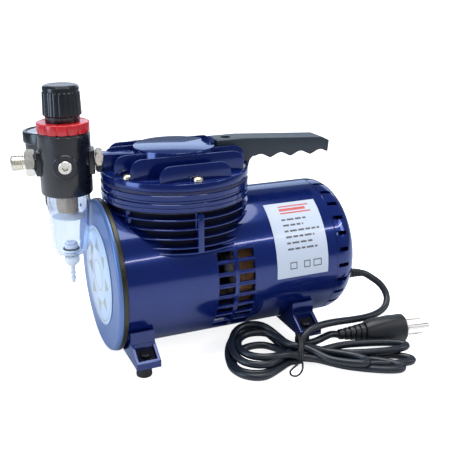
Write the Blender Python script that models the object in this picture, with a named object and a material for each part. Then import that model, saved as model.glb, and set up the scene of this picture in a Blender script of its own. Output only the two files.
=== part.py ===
"""Airbrush compressor: a diaphragm compressor on a round motor, with a filter-regulator.

Design frame, in metres: x = 0 at the back edge of the front cap, +X along the motor shaft to
the rear, +Z up from the table, y = 0 on the shaft. Everything hangs from one empty, which
moves the middle of the object's footprint to the world's origin.
"""

import math

import bmesh
import bpy
from mathutils import Matrix, Vector

MM = 0.001
GAP = 0.3 * MM                    # left between pieces that touch
RUNNING = 0.3 * MM                # left between a shaft and what turns on it

# Driving dimensions
HOUSING_RADIUS = 61 * MM
UNDER_MOTOR = 8 * MM              # table to the housing
SHAFT_HEIGHT = HOUSING_RADIUS + UNDER_MOTOR
HOUSING_WALL = 2.5 * MM
HOUSING_LENGTH = 187 * MM
CAP_RADIUS = HOUSING_RADIUS + 3.6 * MM      # front cap and its ring
CAP_RING_LENGTH = 3.9 * MM
CAP_THICKNESS = 3.2 * MM
BADGE_RADIUS = CAP_RADIUS - 22.6 * MM
BADGE_THICKNESS = 0.5 * MM
BELL_LENGTH = 23.4 * MM
BELL_CORNER = 18.5 * MM
SHAFT_RADIUS = 5 * MM
BEARING_RADIUS = 13 * MM
BEARING_WIDTH = 9 * MM
STATOR_LENGTH = 48 * MM
STATOR_BORE = HOUSING_RADIUS - 31 * MM
WINDING_LENGTH = 14.5 * MM
CRANK_THROW = 2.5 * MM            # half of the diaphragm's stroke
ECCENTRIC_RADIUS = 11 * MM
HEAD_RADIUS = 61.6 * MM
HEAD_X = HEAD_RADIUS - 0.4 * MM   # axis of the head and crankcase
DIAPHRAGM_HEIGHT = SHAFT_HEIGHT + HOUSING_RADIUS + 2.3 * MM     # underside of the diaphragm
CRANKCASE_FOOT = DIAPHRAGM_HEIGHT - 32.8 * MM     # lowest edge of the crankcase
CRANKCASE_CORE = HEAD_RADIUS - 5.6 * MM
CRANKCASE_BORE = HEAD_RADIUS - 15.6 * MM
DIAPHRAGM_THICKNESS = 1.2 * MM
CLAMP_RING_HEIGHT = 7.1 * MM
VALVE_PLATE_HEIGHT = 6.5 * MM
GASKET_THICKNESS = 2.4 * MM
DECK_THICKNESS = 6.2 * MM
DOME_RADIUS = 34 * MM
DOME_HEIGHT = 17.9 * MM           # above the deck
HEAD_SCREW_CIRCLE = HEAD_RADIUS - 6.1 * MM
HEAD_SCREW_RADIUS = 2 * MM
HEAD_SCREW_COUNT = 6
HANDLE_LENGTH = 107.5 * MM
HANDLE_WIDTH = 22.4 * MM
HANDLE_RISE = 20.1 * MM           # above the deck
PORT_RISE = 7.5 * MM              # air line above the deck
PORT_TURN = math.radians(12)      # the air line leaves the head towards -X and a little +Y
REGULATOR_RADIUS = 21 * MM
REGULATOR_REACH = HEAD_RADIUS + REGULATOR_RADIUS + 6.1 * MM       # head axis to regulator axis
REGULATOR_LENGTH = 50.3 * MM
KNOB_RADIUS = 15.4 * MM
BOWL_RADIUS = REGULATOR_RADIUS - 4 * MM
BOWL_LENGTH = 53.5 * MM
GAUGE_RADIUS = 21.8 * MM
FOOT_RADIUS = 6.5 * MM
FOOT_HEIGHT = 14.5 * MM
BRACKET_WIDTH = 20 * MM
BRACKET_REACH = 72 * MM           # shaft axis to the toe of a foot bracket
FRONT_BRACKET_X = 12 * MM
REAR_BRACKET_X = HOUSING_LENGTH - 30 * MM
CORD_RADIUS = 3.1 * MM

# Worked out from the driving dimensions
BELL_START = HOUSING_LENGTH + GAP
BELL_BACK = BELL_START + BELL_LENGTH
CAP_FRONT = -CAP_RING_LENGTH - GAP - CAP_THICKNESS
CLAMP_RING_FOOT = DIAPHRAGM_HEIGHT + DIAPHRAGM_THICKNESS + GAP
VALVE_PLATE_FOOT = CLAMP_RING_FOOT + CLAMP_RING_HEIGHT + GAP
GASKET_FOOT = VALVE_PLATE_FOOT + VALVE_PLATE_HEIGHT + GAP
HEAD_FOOT = GASKET_FOOT + GASKET_THICKNESS + GAP
DECK = HEAD_FOOT + DECK_THICKNESS
DOME_TOP = DECK + DOME_HEIGHT
HANDLE_TOP = DECK + HANDLE_RISE
PORT_HEIGHT = DECK + PORT_RISE    # through the head and the regulator
REGULATOR_FOOT = PORT_HEIGHT - 26 * MM
AIR_LINE = Vector((-math.cos(PORT_TURN), math.sin(PORT_TURN), 0))
REGULATOR_X = HEAD_X + REGULATOR_REACH * AIR_LINE.x
REGULATOR_Y = REGULATOR_REACH * AIR_LINE.y
REGULATOR_TOP = REGULATOR_FOOT + REGULATOR_LENGTH
OUTLET_REACH = REGULATOR_RADIUS + 21.8 * MM
GAUGE_TURN = math.radians(16)     # the gauge port looks back and a little outwards
GAUGE_LINE = Vector((math.sin(PORT_TURN - GAUGE_TURN), math.cos(PORT_TURN - GAUGE_TURN), 0))
GAUGE_REACH = REGULATOR_RADIUS + 7 * MM + GAUGE_RADIUS
GAUGE_X = REGULATOR_X + GAUGE_REACH * GAUGE_LINE.x
GAUGE_Y = REGULATOR_Y + GAUGE_REACH * GAUGE_LINE.y
LEFT_END = REGULATOR_X + OUTLET_REACH * AIR_LINE.x - 5.8 * MM * math.sin(PORT_TURN)
MIDDLE_X = (LEFT_END + BELL_BACK) / 2
MIDDLE_Y = (GAUGE_Y + GAUGE_RADIUS - BRACKET_REACH) / 2

for thing in list(bpy.data.objects):
    bpy.data.objects.remove(thing)
scene_root = bpy.context.scene.collection

frame_empty = bpy.data.objects.new("assembly_frame", None)
frame_empty.location = (-MIDDLE_X, -MIDDLE_Y, 0)
scene_root.objects.link(frame_empty)


# Materials

def finish(name, colour, roughness, metallic=0.0, alpha=1.0):
    """A Principled material."""
    made = bpy.data.materials.new(name)
    made.use_nodes = True
    shader = made.node_tree.nodes["Principled BSDF"]
    shader.inputs["Base Color"].default_value = (*colour, 1)
    shader.inputs["Roughness"].default_value = roughness
    shader.inputs["Metallic"].default_value = metallic
    shader.inputs["Alpha"].default_value = alpha
    made.diffuse_color = (*colour, alpha)
    return made


BLUE_PAINT = finish("blue_paint", (0.012, 0.022, 0.16), 0.22)
BLUE_CASTING = finish("blue_casting", (0.012, 0.022, 0.16), 0.24)
DARK_RING = finish("dark_ring", (0.05, 0.05, 0.035), 0.3, 0.6)
BADGE_FOIL = finish("badge_foil", (0.62, 0.72, 0.82), 0.3, 0.2)
LABEL_FILM = finish("label_film", (0.82, 0.85, 0.9), 0.35)
STEEL = finish("steel", (0.55, 0.55, 0.56), 0.32, 1.0)
LAMINATION = finish("lamination", (0.3, 0.3, 0.31), 0.5, 1.0)
COPPER = finish("copper", (0.55, 0.24, 0.1), 0.35, 1.0)
ALUMINIUM = finish("aluminium", (0.62, 0.63, 0.65), 0.42, 1.0)
BRASS = finish("brass", (0.72, 0.6, 0.32), 0.3, 1.0)
NICKEL = finish("nickel", (0.68, 0.64, 0.56), 0.25, 1.0)
BRONZE_FILTER = finish("bronze_filter", (0.5, 0.36, 0.24), 0.7, 0.6)
BLACK_RUBBER = finish("black_rubber", (0.02, 0.02, 0.022), 0.75)
BLACK_PLASTIC = finish("black_plastic", (0.025, 0.028, 0.03), 0.4)
WHITE_PLASTIC = finish("white_plastic", (0.8, 0.82, 0.84), 0.4)
RED_PLASTIC = finish("red_plastic", (0.75, 0.04, 0.05), 0.35)
GASKET_FIBRE = finish("gasket_fibre", (0.02, 0.02, 0.03), 0.8)
DIAL_CARD = finish("dial_card", (0.75, 0.76, 0.78), 0.6)
NEEDLE_PAINT = finish("needle_paint", (0.6, 0.05, 0.04), 0.4)
CLEAR_PLASTIC = finish("clear_plastic", (0.92, 0.94, 0.96), 0.08, 0.0, 0.35)
CORD_SHEATH = finish("cord_sheath", (0.02, 0.024, 0.03), 0.45)


# Shapes

def node(name, mesh, material, location=(0, 0, 0), turn=None):
    """One named object on the assembly's frame."""
    made = bpy.data.objects.new(name, mesh)
    made.location = location
    if turn:
        made.rotation_euler = turn
    made.parent = frame_empty
    if material:
        mesh.materials.append(material)
    scene_root.objects.link(made)
    return made


def closed_mesh(name, shape):
    """The bmesh as a mesh with its faces pointing out and its round faces smooth."""
    bmesh.ops.remove_doubles(shape, verts=shape.verts, dist=1e-7)
    bmesh.ops.recalc_face_normals(shape, faces=shape.faces)
    mesh = bpy.data.meshes.new(name)
    shape.to_mesh(mesh)
    shape.free()
    mesh.shade_smooth()
    mesh.set_sharp_from_angle(angle=math.radians(35))
    return mesh


def on_circle(radius, angle, centre=(0, 0)):
    """A point on a circle. Rounding it keeps points that should share a line exactly on it."""
    return (round(centre[0] + radius * math.cos(angle), 9), round(centre[1] + radius * math.sin(angle), 9))


def turned_shape(outline, steps, axis="Z"):
    """A solid of revolution. The outline is a closed loop of (radius, height) points."""
    shape = bmesh.new()
    rings = []
    for radius, height in outline:
        if radius < 1e-6:
            rings.append([shape.verts.new((0, 0, height))] * steps)
            continue
        angles = [2 * math.pi * step / steps for step in range(steps)]
        rings.append([shape.verts.new((*on_circle(radius, angle), height)) for angle in angles])
    for index, ring in enumerate(rings):
        after_index = (index + 1) % len(rings)
        following = rings[after_index]
        on_axis = (outline[index][0] < 1e-6, outline[after_index][0] < 1e-6)
        if all(on_axis):
            continue
        if any(on_axis) and outline[index][1] == outline[after_index][1]:
            shape.faces.new(following if on_axis[0] else ring)
            continue
        for step in range(steps):
            after = (step + 1) % steps
            corners = list(dict.fromkeys([ring[step], ring[after], following[after], following[step]]))
            shape.faces.new(corners)
    bmesh.ops.delete(shape, geom=[point for point in shape.verts if not point.link_faces], context="VERTS")
    if axis == "X":
        for point in shape.verts:
            point.co = (point.co.z, point.co.y, -point.co.x)
    shape.normal_update()
    return shape


def turned(name, outline, steps, axis="Z"):
    return closed_mesh(name, turned_shape(outline, steps, axis))


def prism_shape(outline, low, high, plane="XY"):
    """An outline carried straight from low to high along the axis that its plane leaves free."""
    place = {
        "XY": lambda a, b, c: (a, b, c),
        "XZ": lambda a, b, c: (a, c, b),
        "YZ": lambda a, b, c: (c, a, b),
    }[plane]
    shape = bmesh.new()
    bottom = [shape.verts.new(place(a, b, low)) for a, b in outline]
    top = [shape.verts.new(place(a, b, high)) for a, b in outline]
    shape.faces.new(bottom)
    shape.faces.new(top)
    for index in range(len(outline)):
        after = (index + 1) % len(outline)
        shape.faces.new((bottom[index], bottom[after], top[after], top[index]))
    return shape


def prism(name, outline, low, high, plane="XY"):
    return closed_mesh(name, prism_shape(outline, low, high, plane))


def rod_outline(radius, low, high):
    """Half section of a plain round bar."""
    return [(0, low), (radius, low), (radius, high), (0, high)]


def tube_outline(inner, outer, low, high):
    """Half section of a plain tube."""
    return [(inner, low), (outer, low), (outer, high), (inner, high)]


def circle_points(radius, count, start=0.0, centre=(0, 0)):
    """Points round a full circle."""
    return [on_circle(radius, start + 2 * math.pi * step / count, centre) for step in range(count)]


def arc_points(centre, radius, start, end, count):
    """Points along an arc, both ends included."""
    return [on_circle(radius, start + (end - start) * step / (count - 1), centre) for step in range(count)]


def box_points(width, height, centre=(0, 0)):
    """Corners of a rectangle."""
    a, b = centre
    return [(a - width / 2, b - height / 2), (a + width / 2, b - height / 2),
            (a + width / 2, b + height / 2), (a - width / 2, b + height / 2)]


def hexagon(across_flats, start=0.0):
    return circle_points(across_flats / math.sqrt(3), 6, start)


def moved(shape, matrix):
    bmesh.ops.transform(shape, matrix=matrix, verts=shape.verts)
    return shape


def together(*shapes):
    """Several separate shapes in one mesh, for a cutter."""
    joined = bmesh.new()
    for shape in shapes:
        piece = bpy.data.meshes.new("piece")
        bmesh.ops.recalc_face_normals(shape, faces=shape.faces)
        shape.to_mesh(piece)
        shape.free()
        joined.from_mesh(piece)
        bpy.data.meshes.remove(piece)
    return joined


def helper(name, shape, location=(0, 0, 0)):
    """An object that only takes part in a Boolean."""
    bmesh.ops.recalc_face_normals(shape, faces=shape.faces)
    mesh = bpy.data.meshes.new(name)
    shape.to_mesh(mesh)
    shape.free()
    made = node(name, mesh, None, location)
    made.hide_render = True
    made.display_type = "WIRE"
    return made


def combine(target, other, operation):
    step = target.modifiers.new(operation.lower() + "_" + other.name, "BOOLEAN")
    step.operation = operation
    step.solver = "EXACT"
    step.object = other


def cut(target, name, shape, location=(0, 0, 0)):
    combine(target, helper(name, shape, location), "DIFFERENCE")


def add(target, name, shape, location=(0, 0, 0)):
    combine(target, helper(name, shape, location), "UNION")


def soften(target, width, segments=2):
    """Rounded edges."""
    bevel = target.modifiers.new("soften", "BEVEL")
    bevel.width = width
    bevel.segments = segments
    bevel.limit_method = "ANGLE"
    bevel.angle_limit = math.radians(40)


def placed(location, x_axis=(1, 0, 0), z_axis=(0, 0, 1)):
    """A matrix that puts a shape's origin at a place and turns its Z axis."""
    z = Vector(z_axis).normalized()
    x = Vector(x_axis)
    x = (x - z * x.dot(z)).normalized()
    y = z.cross(x)
    turn = Matrix((x, y, z)).transposed().to_4x4()
    return Matrix.Translation(location) @ turn


def round_bar(radius, low, high, steps, location, z_axis):
    """A round bar along any direction, for a cutter or a union."""
    shape = turned_shape(rod_outline(radius, low, high), steps)
    return moved(shape, placed(location, (0, 1, 0.01), z_axis))


# Motor

SHAFT = (0, 0, SHAFT_HEIGHT)
LOUVRE_ROWS = 8
LOUVRE_PITCH = math.radians(9.6)
LOUVRE_START = math.radians(67.5)           # from the top of the housing to the first row
LOUVRE_LENGTH = 14.5 * MM
LOUVRE_HEIGHT = 6.8 * MM
LOUVRE_COLUMNS = (HEAD_X + 22.6 * MM, HEAD_X + 40.6 * MM)
ROD_OPENING = 30 * MM


def radial_box(length, width, depth, x, radius, angle):
    """A box on the housing's wall. The angle is measured from the top towards -Y."""
    shape = prism_shape(box_points(length, width), -depth / 2, depth / 2)
    outward = Vector((0, -math.sin(angle), math.cos(angle)))
    return moved(shape, placed(Vector((x, 0, 0)) + outward * radius, (1, 0, 0), outward))


def motor_housing():
    """Rolled tube with two grilles of louvres and an opening under the crankcase."""
    inner = HOUSING_RADIUS - HOUSING_WALL
    mesh = turned("motor_housing", tube_outline(inner, HOUSING_RADIUS, GAP, HOUSING_LENGTH), 48, "X")
    housing = node("motor_housing", mesh, BLUE_PAINT, SHAFT)
    slots = []
    for side in (1, -1):
        for row in range(LOUVRE_ROWS):
            angle = side * (LOUVRE_START + row * LOUVRE_PITCH)
            for x in LOUVRE_COLUMNS:
                slots.append(radial_box(LOUVRE_LENGTH, LOUVRE_HEIGHT, 4 * HOUSING_WALL, x,
                                        HOUSING_RADIUS - HOUSING_WALL / 2, angle))
    cut(housing, "louvre_cutter", together(*slots), SHAFT)
    opening = moved(turned_shape(rod_outline(ROD_OPENING, 30 * MM, 2 * HOUSING_RADIUS), 32),
                    Matrix.Translation((HEAD_X, 0, 0)))
    cut(housing, "rod_opening_cutter", opening, SHAFT)


def front_cap():
    """The ring at the housing's mouth, the painted cover with its bearing seat, and its badge."""
    node("cap_ring", turned("cap_ring", tube_outline(HOUSING_RADIUS - 7 * MM, CAP_RADIUS, -CAP_RING_LENGTH, 0), 48, "X"),
         DARK_RING, SHAFT)
    rim = CAP_THICKNESS - 0.4 * MM
    back = -CAP_RING_LENGTH - GAP
    seat_end = back + BEARING_WIDTH + 8 * MM
    seat = BEARING_RADIUS + GAP
    rounding = arc_points((CAP_RADIUS - rim, back - 0.4 * MM), rim, -math.pi / 2, 0, 4)
    outline = [(0, CAP_FRONT)] + rounding
    outline += [(CAP_RADIUS, back), (seat + 3.5 * MM, back), (seat + 3.5 * MM, seat_end),
                (seat, seat_end), (seat, back + 2 * MM), (0, back + 2 * MM)]
    node("front_cover", turned("front_cover", outline, 48, "X"), BLUE_CASTING, SHAFT)
    node("cover_badge", turned("cover_badge", rod_outline(BADGE_RADIUS, CAP_FRONT - GAP - BADGE_THICKNESS,
                                                          CAP_FRONT - GAP), 48, "X"), BADGE_FOIL, SHAFT)
    bearing_start = back + 2 * MM + GAP
    bearing("front_bearing", bearing_start)
    return bearing_start


def bearing(name, start):
    outline = [(SHAFT_RADIUS + RUNNING, start), (BEARING_RADIUS, start),
               (BEARING_RADIUS, start + BEARING_WIDTH), (SHAFT_RADIUS + RUNNING, start + BEARING_WIDTH)]
    node(name, turned(name, outline, 28, "X"), STEEL, SHAFT)


BELL_SLOTS = 27
BELL_SLOT_START = math.radians(10)          # from the top towards -Y
BELL_SLOT_LENGTH = 10.5 * MM
BELL_SLOT_WIDTH = 3.6 * MM
BELL_WALL = 2.5 * MM
CORD_EXIT = Vector((BELL_BACK, -35.5 * MM, 48.4 * MM))
CORD_HOLE = 4.6 * MM


def rear_bell():
    """Rounded end bell with a ring of vents, a bearing seat and the cord's hole."""
    corner = (HOUSING_RADIUS - BELL_CORNER, BELL_BACK - BELL_CORNER)
    outer = arc_points(corner, BELL_CORNER, 0, math.pi / 2, 5)
    inner = arc_points(corner, BELL_CORNER - BELL_WALL, 0, math.pi / 2, 4)
    seat = BEARING_RADIUS + GAP
    bearing_start = BELL_BACK - BELL_WALL - BEARING_WIDTH - 2 * GAP
    outline = [(HOUSING_RADIUS - BELL_WALL, BELL_START), (HOUSING_RADIUS, BELL_START)] + outer
    outline += [(0, BELL_BACK), (0, BELL_BACK - BELL_WALL), (seat, BELL_BACK - BELL_WALL),
                (seat, bearing_start), (seat + 3 * MM, bearing_start),
                (seat + 3 * MM, BELL_BACK - BELL_WALL)]
    outline += list(reversed(inner))
    bell = node("rear_bell", turned("rear_bell", outline, 40, "X"), BLUE_CASTING, SHAFT)
    slots = []
    for slot in range(BELL_SLOTS):
        angle = BELL_SLOT_START + 2 * math.pi * slot / BELL_SLOTS
        slots.append(radial_box(BELL_SLOT_LENGTH, BELL_SLOT_WIDTH, 4 * BELL_WALL,
                                BELL_START + 1.2 * MM + BELL_SLOT_LENGTH / 2,
                                HOUSING_RADIUS - BELL_WALL / 2, angle))
    cut(bell, "bell_slot_cutter", together(*slots), SHAFT)
    hole = round_bar(CORD_HOLE, -6 * MM, 6 * MM, 16, CORD_EXIT, (1, 0, 0))
    cut(bell, "cord_hole_cutter", hole)
    bearing("rear_bearing", bearing_start + GAP)
    return bearing_start + GAP


LABEL_START = HEAD_X + HEAD_RADIUS + 6.2 * MM
LABEL_LENGTH = HOUSING_LENGTH - 9.5 * MM - LABEL_START
LABEL_FROM = math.radians(30)
LABEL_TO = math.radians(93)


def rating_label():
    """Curved plate stuck on the housing's near side, left blank."""
    inner = HOUSING_RADIUS + GAP
    outer = inner + 0.5 * MM
    upper = math.pi / 2 + LABEL_FROM
    lower = math.pi / 2 + LABEL_TO
    outline = arc_points((0, 0), outer, upper, lower, 13)
    outline += list(reversed(arc_points((0, 0), inner, upper, lower, 13)))
    mesh = prism("rating_label", outline, LABEL_START, LABEL_START + LABEL_LENGTH, "YZ")
    node("rating_label", mesh, LABEL_FILM, SHAFT)


STATOR_SLOTS = 8
STATOR_SLOT_RADIUS = 4 * MM
STATOR_SLOT_CIRCLE = STATOR_BORE + 10 * MM
STATOR_START = HEAD_X + 51.8 * MM


def stator():
    """Lamination stack, and one copper winding that runs through its slots."""
    end = STATOR_START + STATOR_LENGTH
    outer = HOUSING_RADIUS - HOUSING_WALL - GAP
    core = node("stator_core", turned("stator_core", tube_outline(STATOR_BORE, outer, STATOR_START, end),
                                      40, "X"), LAMINATION, SHAFT)
    places = circle_points(STATOR_SLOT_CIRCLE, STATOR_SLOTS)
    holes = [prism_shape(circle_points(STATOR_SLOT_RADIUS, 8, 0, place), STATOR_START - 5 * MM,
                         end + 5 * MM, "YZ") for place in places]
    cut(core, "stator_slot_cutter", together(*holes), SHAFT)
    inner, outer_edge = STATOR_BORE + 0.5 * MM, STATOR_BORE + 21 * MM
    front = [(inner + 1.5 * MM, STATOR_START - GAP), (inner, STATOR_START - 0.6 * WINDING_LENGTH),
             (inner + 4.5 * MM, STATOR_START - WINDING_LENGTH), (outer_edge - 6 * MM, STATOR_START - WINDING_LENGTH),
             (outer_edge, STATOR_START - 0.6 * WINDING_LENGTH), (outer_edge - 2 * MM, STATOR_START - GAP)]
    rear = [(radius, STATOR_START + end - height) for radius, height in front]
    winding = node("stator_winding", turned("stator_winding", front, 24, "X"), COPPER, SHAFT)
    add(winding, "winding_rear", turned_shape(rear, 24, "X"), SHAFT)
    bars = [prism_shape(circle_points(STATOR_SLOT_RADIUS - 0.5 * MM, 8, 0, place),
                        STATOR_START - 2 * MM, end + 2 * MM, "YZ") for place in places]
    add(winding, "winding_bars", together(*bars), SHAFT)


FAN_BLADES = 9
FAN_RADIUS = HOUSING_RADIUS - 15 * MM
ECCENTRIC_START = HEAD_X - 5 * MM
ECCENTRIC_END = HEAD_X + 5 * MM


def rotating_parts(front_bearing_start, rear_bearing_start):
    """Shaft, rotor, cooling fan, and the eccentric with its counterweight."""
    shaft_start = front_bearing_start - GAP + 0.5 * MM
    shaft_end = rear_bearing_start + BEARING_WIDTH - 0.5 * MM
    node("motor_shaft", turned("motor_shaft", rod_outline(SHAFT_RADIUS, shaft_start, shaft_end), 24, "X"),
         STEEL, SHAFT)
    bore = SHAFT_RADIUS + GAP
    rotor = tube_outline(bore, STATOR_BORE - 0.7 * MM, STATOR_START - 2 * MM,
                         STATOR_START + STATOR_LENGTH + 2 * MM)
    node("rotor", turned("rotor", rotor, 36, "X"), LAMINATION, SHAFT)
    fan_start = STATOR_START + STATOR_LENGTH + WINDING_LENGTH + 2 * MM
    fan = node("cooling_fan", turned("cooling_fan", tube_outline(bore, 14 * MM, fan_start, fan_start + 8 * MM),
                                     28, "X"), BLACK_PLASTIC, SHAFT)
    blades = []
    for blade in range(FAN_BLADES):
        shape = prism_shape(box_points(8 * MM, 1.6 * MM), 12 * MM, FAN_RADIUS)
        tilt = Matrix.Rotation(math.radians(28), 4, "Z")
        spin = Matrix.Rotation(2 * math.pi * blade / FAN_BLADES, 4, "X")
        blades.append(moved(shape, spin @ Matrix.Translation((fan_start + 4 * MM, 0, 0)) @ tilt))
    add(fan, "fan_blades", together(*blades), SHAFT)
    disc = prism_shape(circle_points(ECCENTRIC_RADIUS, 32, 0, (0, CRANK_THROW)), ECCENTRIC_START,
                       ECCENTRIC_END, "YZ")
    eccentric = node("crank_eccentric", closed_mesh("crank_eccentric", disc), STEEL, SHAFT)
    sector = arc_points((0, 0), 26 * MM, math.radians(200), math.radians(340), 14)
    sector += arc_points((0, 0), 9 * MM, math.radians(20), math.radians(160), 6)
    add(eccentric, "counterweight", prism_shape(sector, ECCENTRIC_START - 6 * MM,
                                                ECCENTRIC_START + 0.3 * MM, "YZ"), SHAFT)
    cut(eccentric, "eccentric_bore", turned_shape(rod_outline(bore, ECCENTRIC_START - 10 * MM,
                                                             ECCENTRIC_END + 5 * MM), 24, "X"), SHAFT)


ROD_EYE = ECCENTRIC_RADIUS + 2 * CRANK_THROW + 0.6 * MM     # open to the eccentric and to the stroke
PLATE_RADIUS = 22 * MM
PLATE_SCREW_RADIUS = 4 * MM
BOWL_WELL = 10 * MM


def connecting_rod():
    """Rod with its eye round the eccentric and the diaphragm's lower plate on top."""
    top = DIAPHRAGM_HEIGHT - GAP
    width = 8.6 * MM
    eye = prism_shape(circle_points(ROD_EYE + 5 * MM, 32), HEAD_X - width / 2, HEAD_X + width / 2, "YZ")
    rod = node("connecting_rod", closed_mesh("connecting_rod", eye), ALUMINIUM, SHAFT)
    shank_start = ROD_EYE + 3 * MM
    shank_end = top - SHAFT_HEIGHT - 3 * MM
    shank = [(-7 * MM, shank_start), (7 * MM, shank_start), (5 * MM, shank_end), (-5 * MM, shank_end)]
    add(rod, "rod_shank", prism_shape(shank, HEAD_X - 3.5 * MM, HEAD_X + 3.5 * MM, "YZ"), SHAFT)
    plate = turned_shape(rod_outline(PLATE_RADIUS, top - 4 * MM, top), 32)
    add(rod, "rod_plate", plate, (HEAD_X, 0, 0))
    cut(rod, "rod_eye_cutter", turned_shape(rod_outline(ROD_EYE, HEAD_X - 10 * MM, HEAD_X + 10 * MM),
                                            32, "X"), SHAFT)
    stem = PLATE_SCREW_RADIUS - GAP
    upper = DIAPHRAGM_HEIGHT + DIAPHRAGM_THICKNESS + GAP
    outline = [(0, DIAPHRAGM_HEIGHT), (stem, DIAPHRAGM_HEIGHT), (stem, upper),
               (PLATE_RADIUS - 1 * MM, upper), (PLATE_RADIUS - 1 * MM, upper + 2.4 * MM),
               (8 * MM, upper + 3.2 * MM), (0, upper + 3.2 * MM)]
    node("diaphragm_plate", turned("diaphragm_plate", outline, 32), ALUMINIUM, (HEAD_X, 0, 0))


# Crankcase and head

RING_LEVELS = tuple(DIAPHRAGM_HEIGHT - drop * MM for drop in (5.3, 13.0, 20.6, 28.2))
RING_THICKNESS = 1.3 * MM
SCREW_TIP = DIAPHRAGM_HEIGHT - 6.8 * MM


def screw_places():
    return circle_points(HEAD_SCREW_CIRCLE, HEAD_SCREW_COUNT, -math.pi / 2)


def screw_holes(low, high):
    return together(*[prism_shape(circle_points(HEAD_SCREW_RADIUS + GAP, 8, 0.3, place), low, high)
                      for place in screw_places()])


def crankcase():
    """Finned casting that stands on the motor housing, with bosses for the head screws."""
    top = DIAPHRAGM_HEIGHT - GAP
    outline = [(CRANKCASE_BORE, CRANKCASE_FOOT - 20 * MM), (CRANKCASE_CORE, CRANKCASE_FOOT - 20 * MM),
               (CRANKCASE_CORE, CRANKCASE_FOOT), (HEAD_RADIUS, CRANKCASE_FOOT),
               (HEAD_RADIUS, CRANKCASE_FOOT + RING_THICKNESS), (CRANKCASE_CORE, CRANKCASE_FOOT + RING_THICKNESS)]
    for level in reversed(RING_LEVELS):
        outline += [(CRANKCASE_CORE, level), (HEAD_RADIUS, level), (HEAD_RADIUS, level + RING_THICKNESS),
                    (CRANKCASE_CORE, level + RING_THICKNESS)]
    outline += [(CRANKCASE_CORE, top), (CRANKCASE_BORE, top)]
    case = node("crankcase", turned("crankcase", outline, 40), BLUE_CASTING, (HEAD_X, 0, 0))
    bosses = [prism_shape(circle_points(3.7 * MM, 10, 0, place), SCREW_TIP - 5.6 * MM, top)
              for place in screw_places()]
    add(case, "screw_bosses", together(*bosses), (HEAD_X, 0, 0))
    rib_reach = HEAD_RADIUS - CRANKCASE_CORE + 2 * MM
    ribs = [prism_shape(box_points(5 * MM, rib_reach, (0, side * (HEAD_RADIUS - rib_reach / 2 - 0.4 * MM))),
                        CRANKCASE_FOOT + 0.4 * MM, top - 0.2 * MM) for side in (-1, 1)]
    add(case, "crankcase_ribs", together(*ribs), (HEAD_X, 0, 0))
    saddle = turned_shape(rod_outline(HOUSING_RADIUS + GAP, -30 * MM, 2 * HEAD_X + 30 * MM), 64, "X")
    cut(case, "saddle_cutter", saddle, SHAFT)
    skirt = turned_shape(tube_outline(30 * MM, HEAD_RADIUS + 20 * MM, CRANKCASE_FOOT - 30 * MM,
                                      CRANKCASE_FOOT), 24)
    cut(case, "skirt_cutter", skirt, (HEAD_X, 0, 0))
    cut(case, "case_hole_cutter", screw_holes(SCREW_TIP - GAP, top + 5 * MM), (HEAD_X, 0, 0))


def diaphragm_stack():
    """Diaphragm, the ring that clamps it, the valve plate and the head gasket."""
    disc = tube_outline(PLATE_SCREW_RADIUS, HEAD_RADIUS - 2.5 * MM, DIAPHRAGM_HEIGHT,
                        DIAPHRAGM_HEIGHT + DIAPHRAGM_THICKNESS)
    diaphragm = node("diaphragm", turned("diaphragm", disc, 40), BLACK_RUBBER, (HEAD_X, 0, 0))
    cut(diaphragm, "diaphragm_hole_cutter", screw_holes(DIAPHRAGM_HEIGHT - 5 * MM, DIAPHRAGM_HEIGHT + 5 * MM),
        (HEAD_X, 0, 0))
    foot = CLAMP_RING_FOOT
    top = foot + CLAMP_RING_HEIGHT
    ring = [(CRANKCASE_BORE, foot), (HEAD_RADIUS, foot), (HEAD_RADIUS, foot + 3.1 * MM),
            (HEAD_RADIUS - 0.9 * MM, foot + 3.5 * MM), (HEAD_RADIUS, foot + 3.9 * MM),
            (HEAD_RADIUS, top), (CRANKCASE_BORE, top)]
    clamp = node("clamp_ring", turned("clamp_ring", ring, 40), BLUE_CASTING, (HEAD_X, 0, 0))
    cut(clamp, "clamp_hole_cutter", screw_holes(foot - 5 * MM, top + 5 * MM), (HEAD_X, 0, 0))
    foot = VALVE_PLATE_FOOT
    top = foot + VALVE_PLATE_HEIGHT
    plate = [(0, foot), (HEAD_RADIUS - 1.2 * MM, foot), (HEAD_RADIUS - 1.2 * MM, foot + 1.7 * MM),
             (HEAD_RADIUS, foot + 2.1 * MM), (HEAD_RADIUS, top), (0, top)]
    valves = node("valve_plate", turned("valve_plate", plate, 40), BLUE_CASTING, (HEAD_X, 0, 0))
    ports = together(*[prism_shape(circle_points(5 * MM, 16, 0, (side * 15 * MM, 0)), foot - 5 * MM, top + 5 * MM)
                       for side in (-1, 1)])
    cut(valves, "valve_port_cutter", ports, (HEAD_X, 0, 0))
    cut(valves, "valve_hole_cutter", screw_holes(foot - 5 * MM, top + 5 * MM), (HEAD_X, 0, 0))
    foot = GASKET_FOOT
    top = foot + GASKET_THICKNESS
    gasket = node("head_gasket", turned("head_gasket", tube_outline(47 * MM, HEAD_RADIUS - 0.9 * MM, foot, top),
                                        40), GASKET_FIBRE, (HEAD_X, 0, 0))
    cut(gasket, "gasket_hole_cutter", screw_holes(foot - 5 * MM, top + 5 * MM), (HEAD_X, 0, 0))


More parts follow.
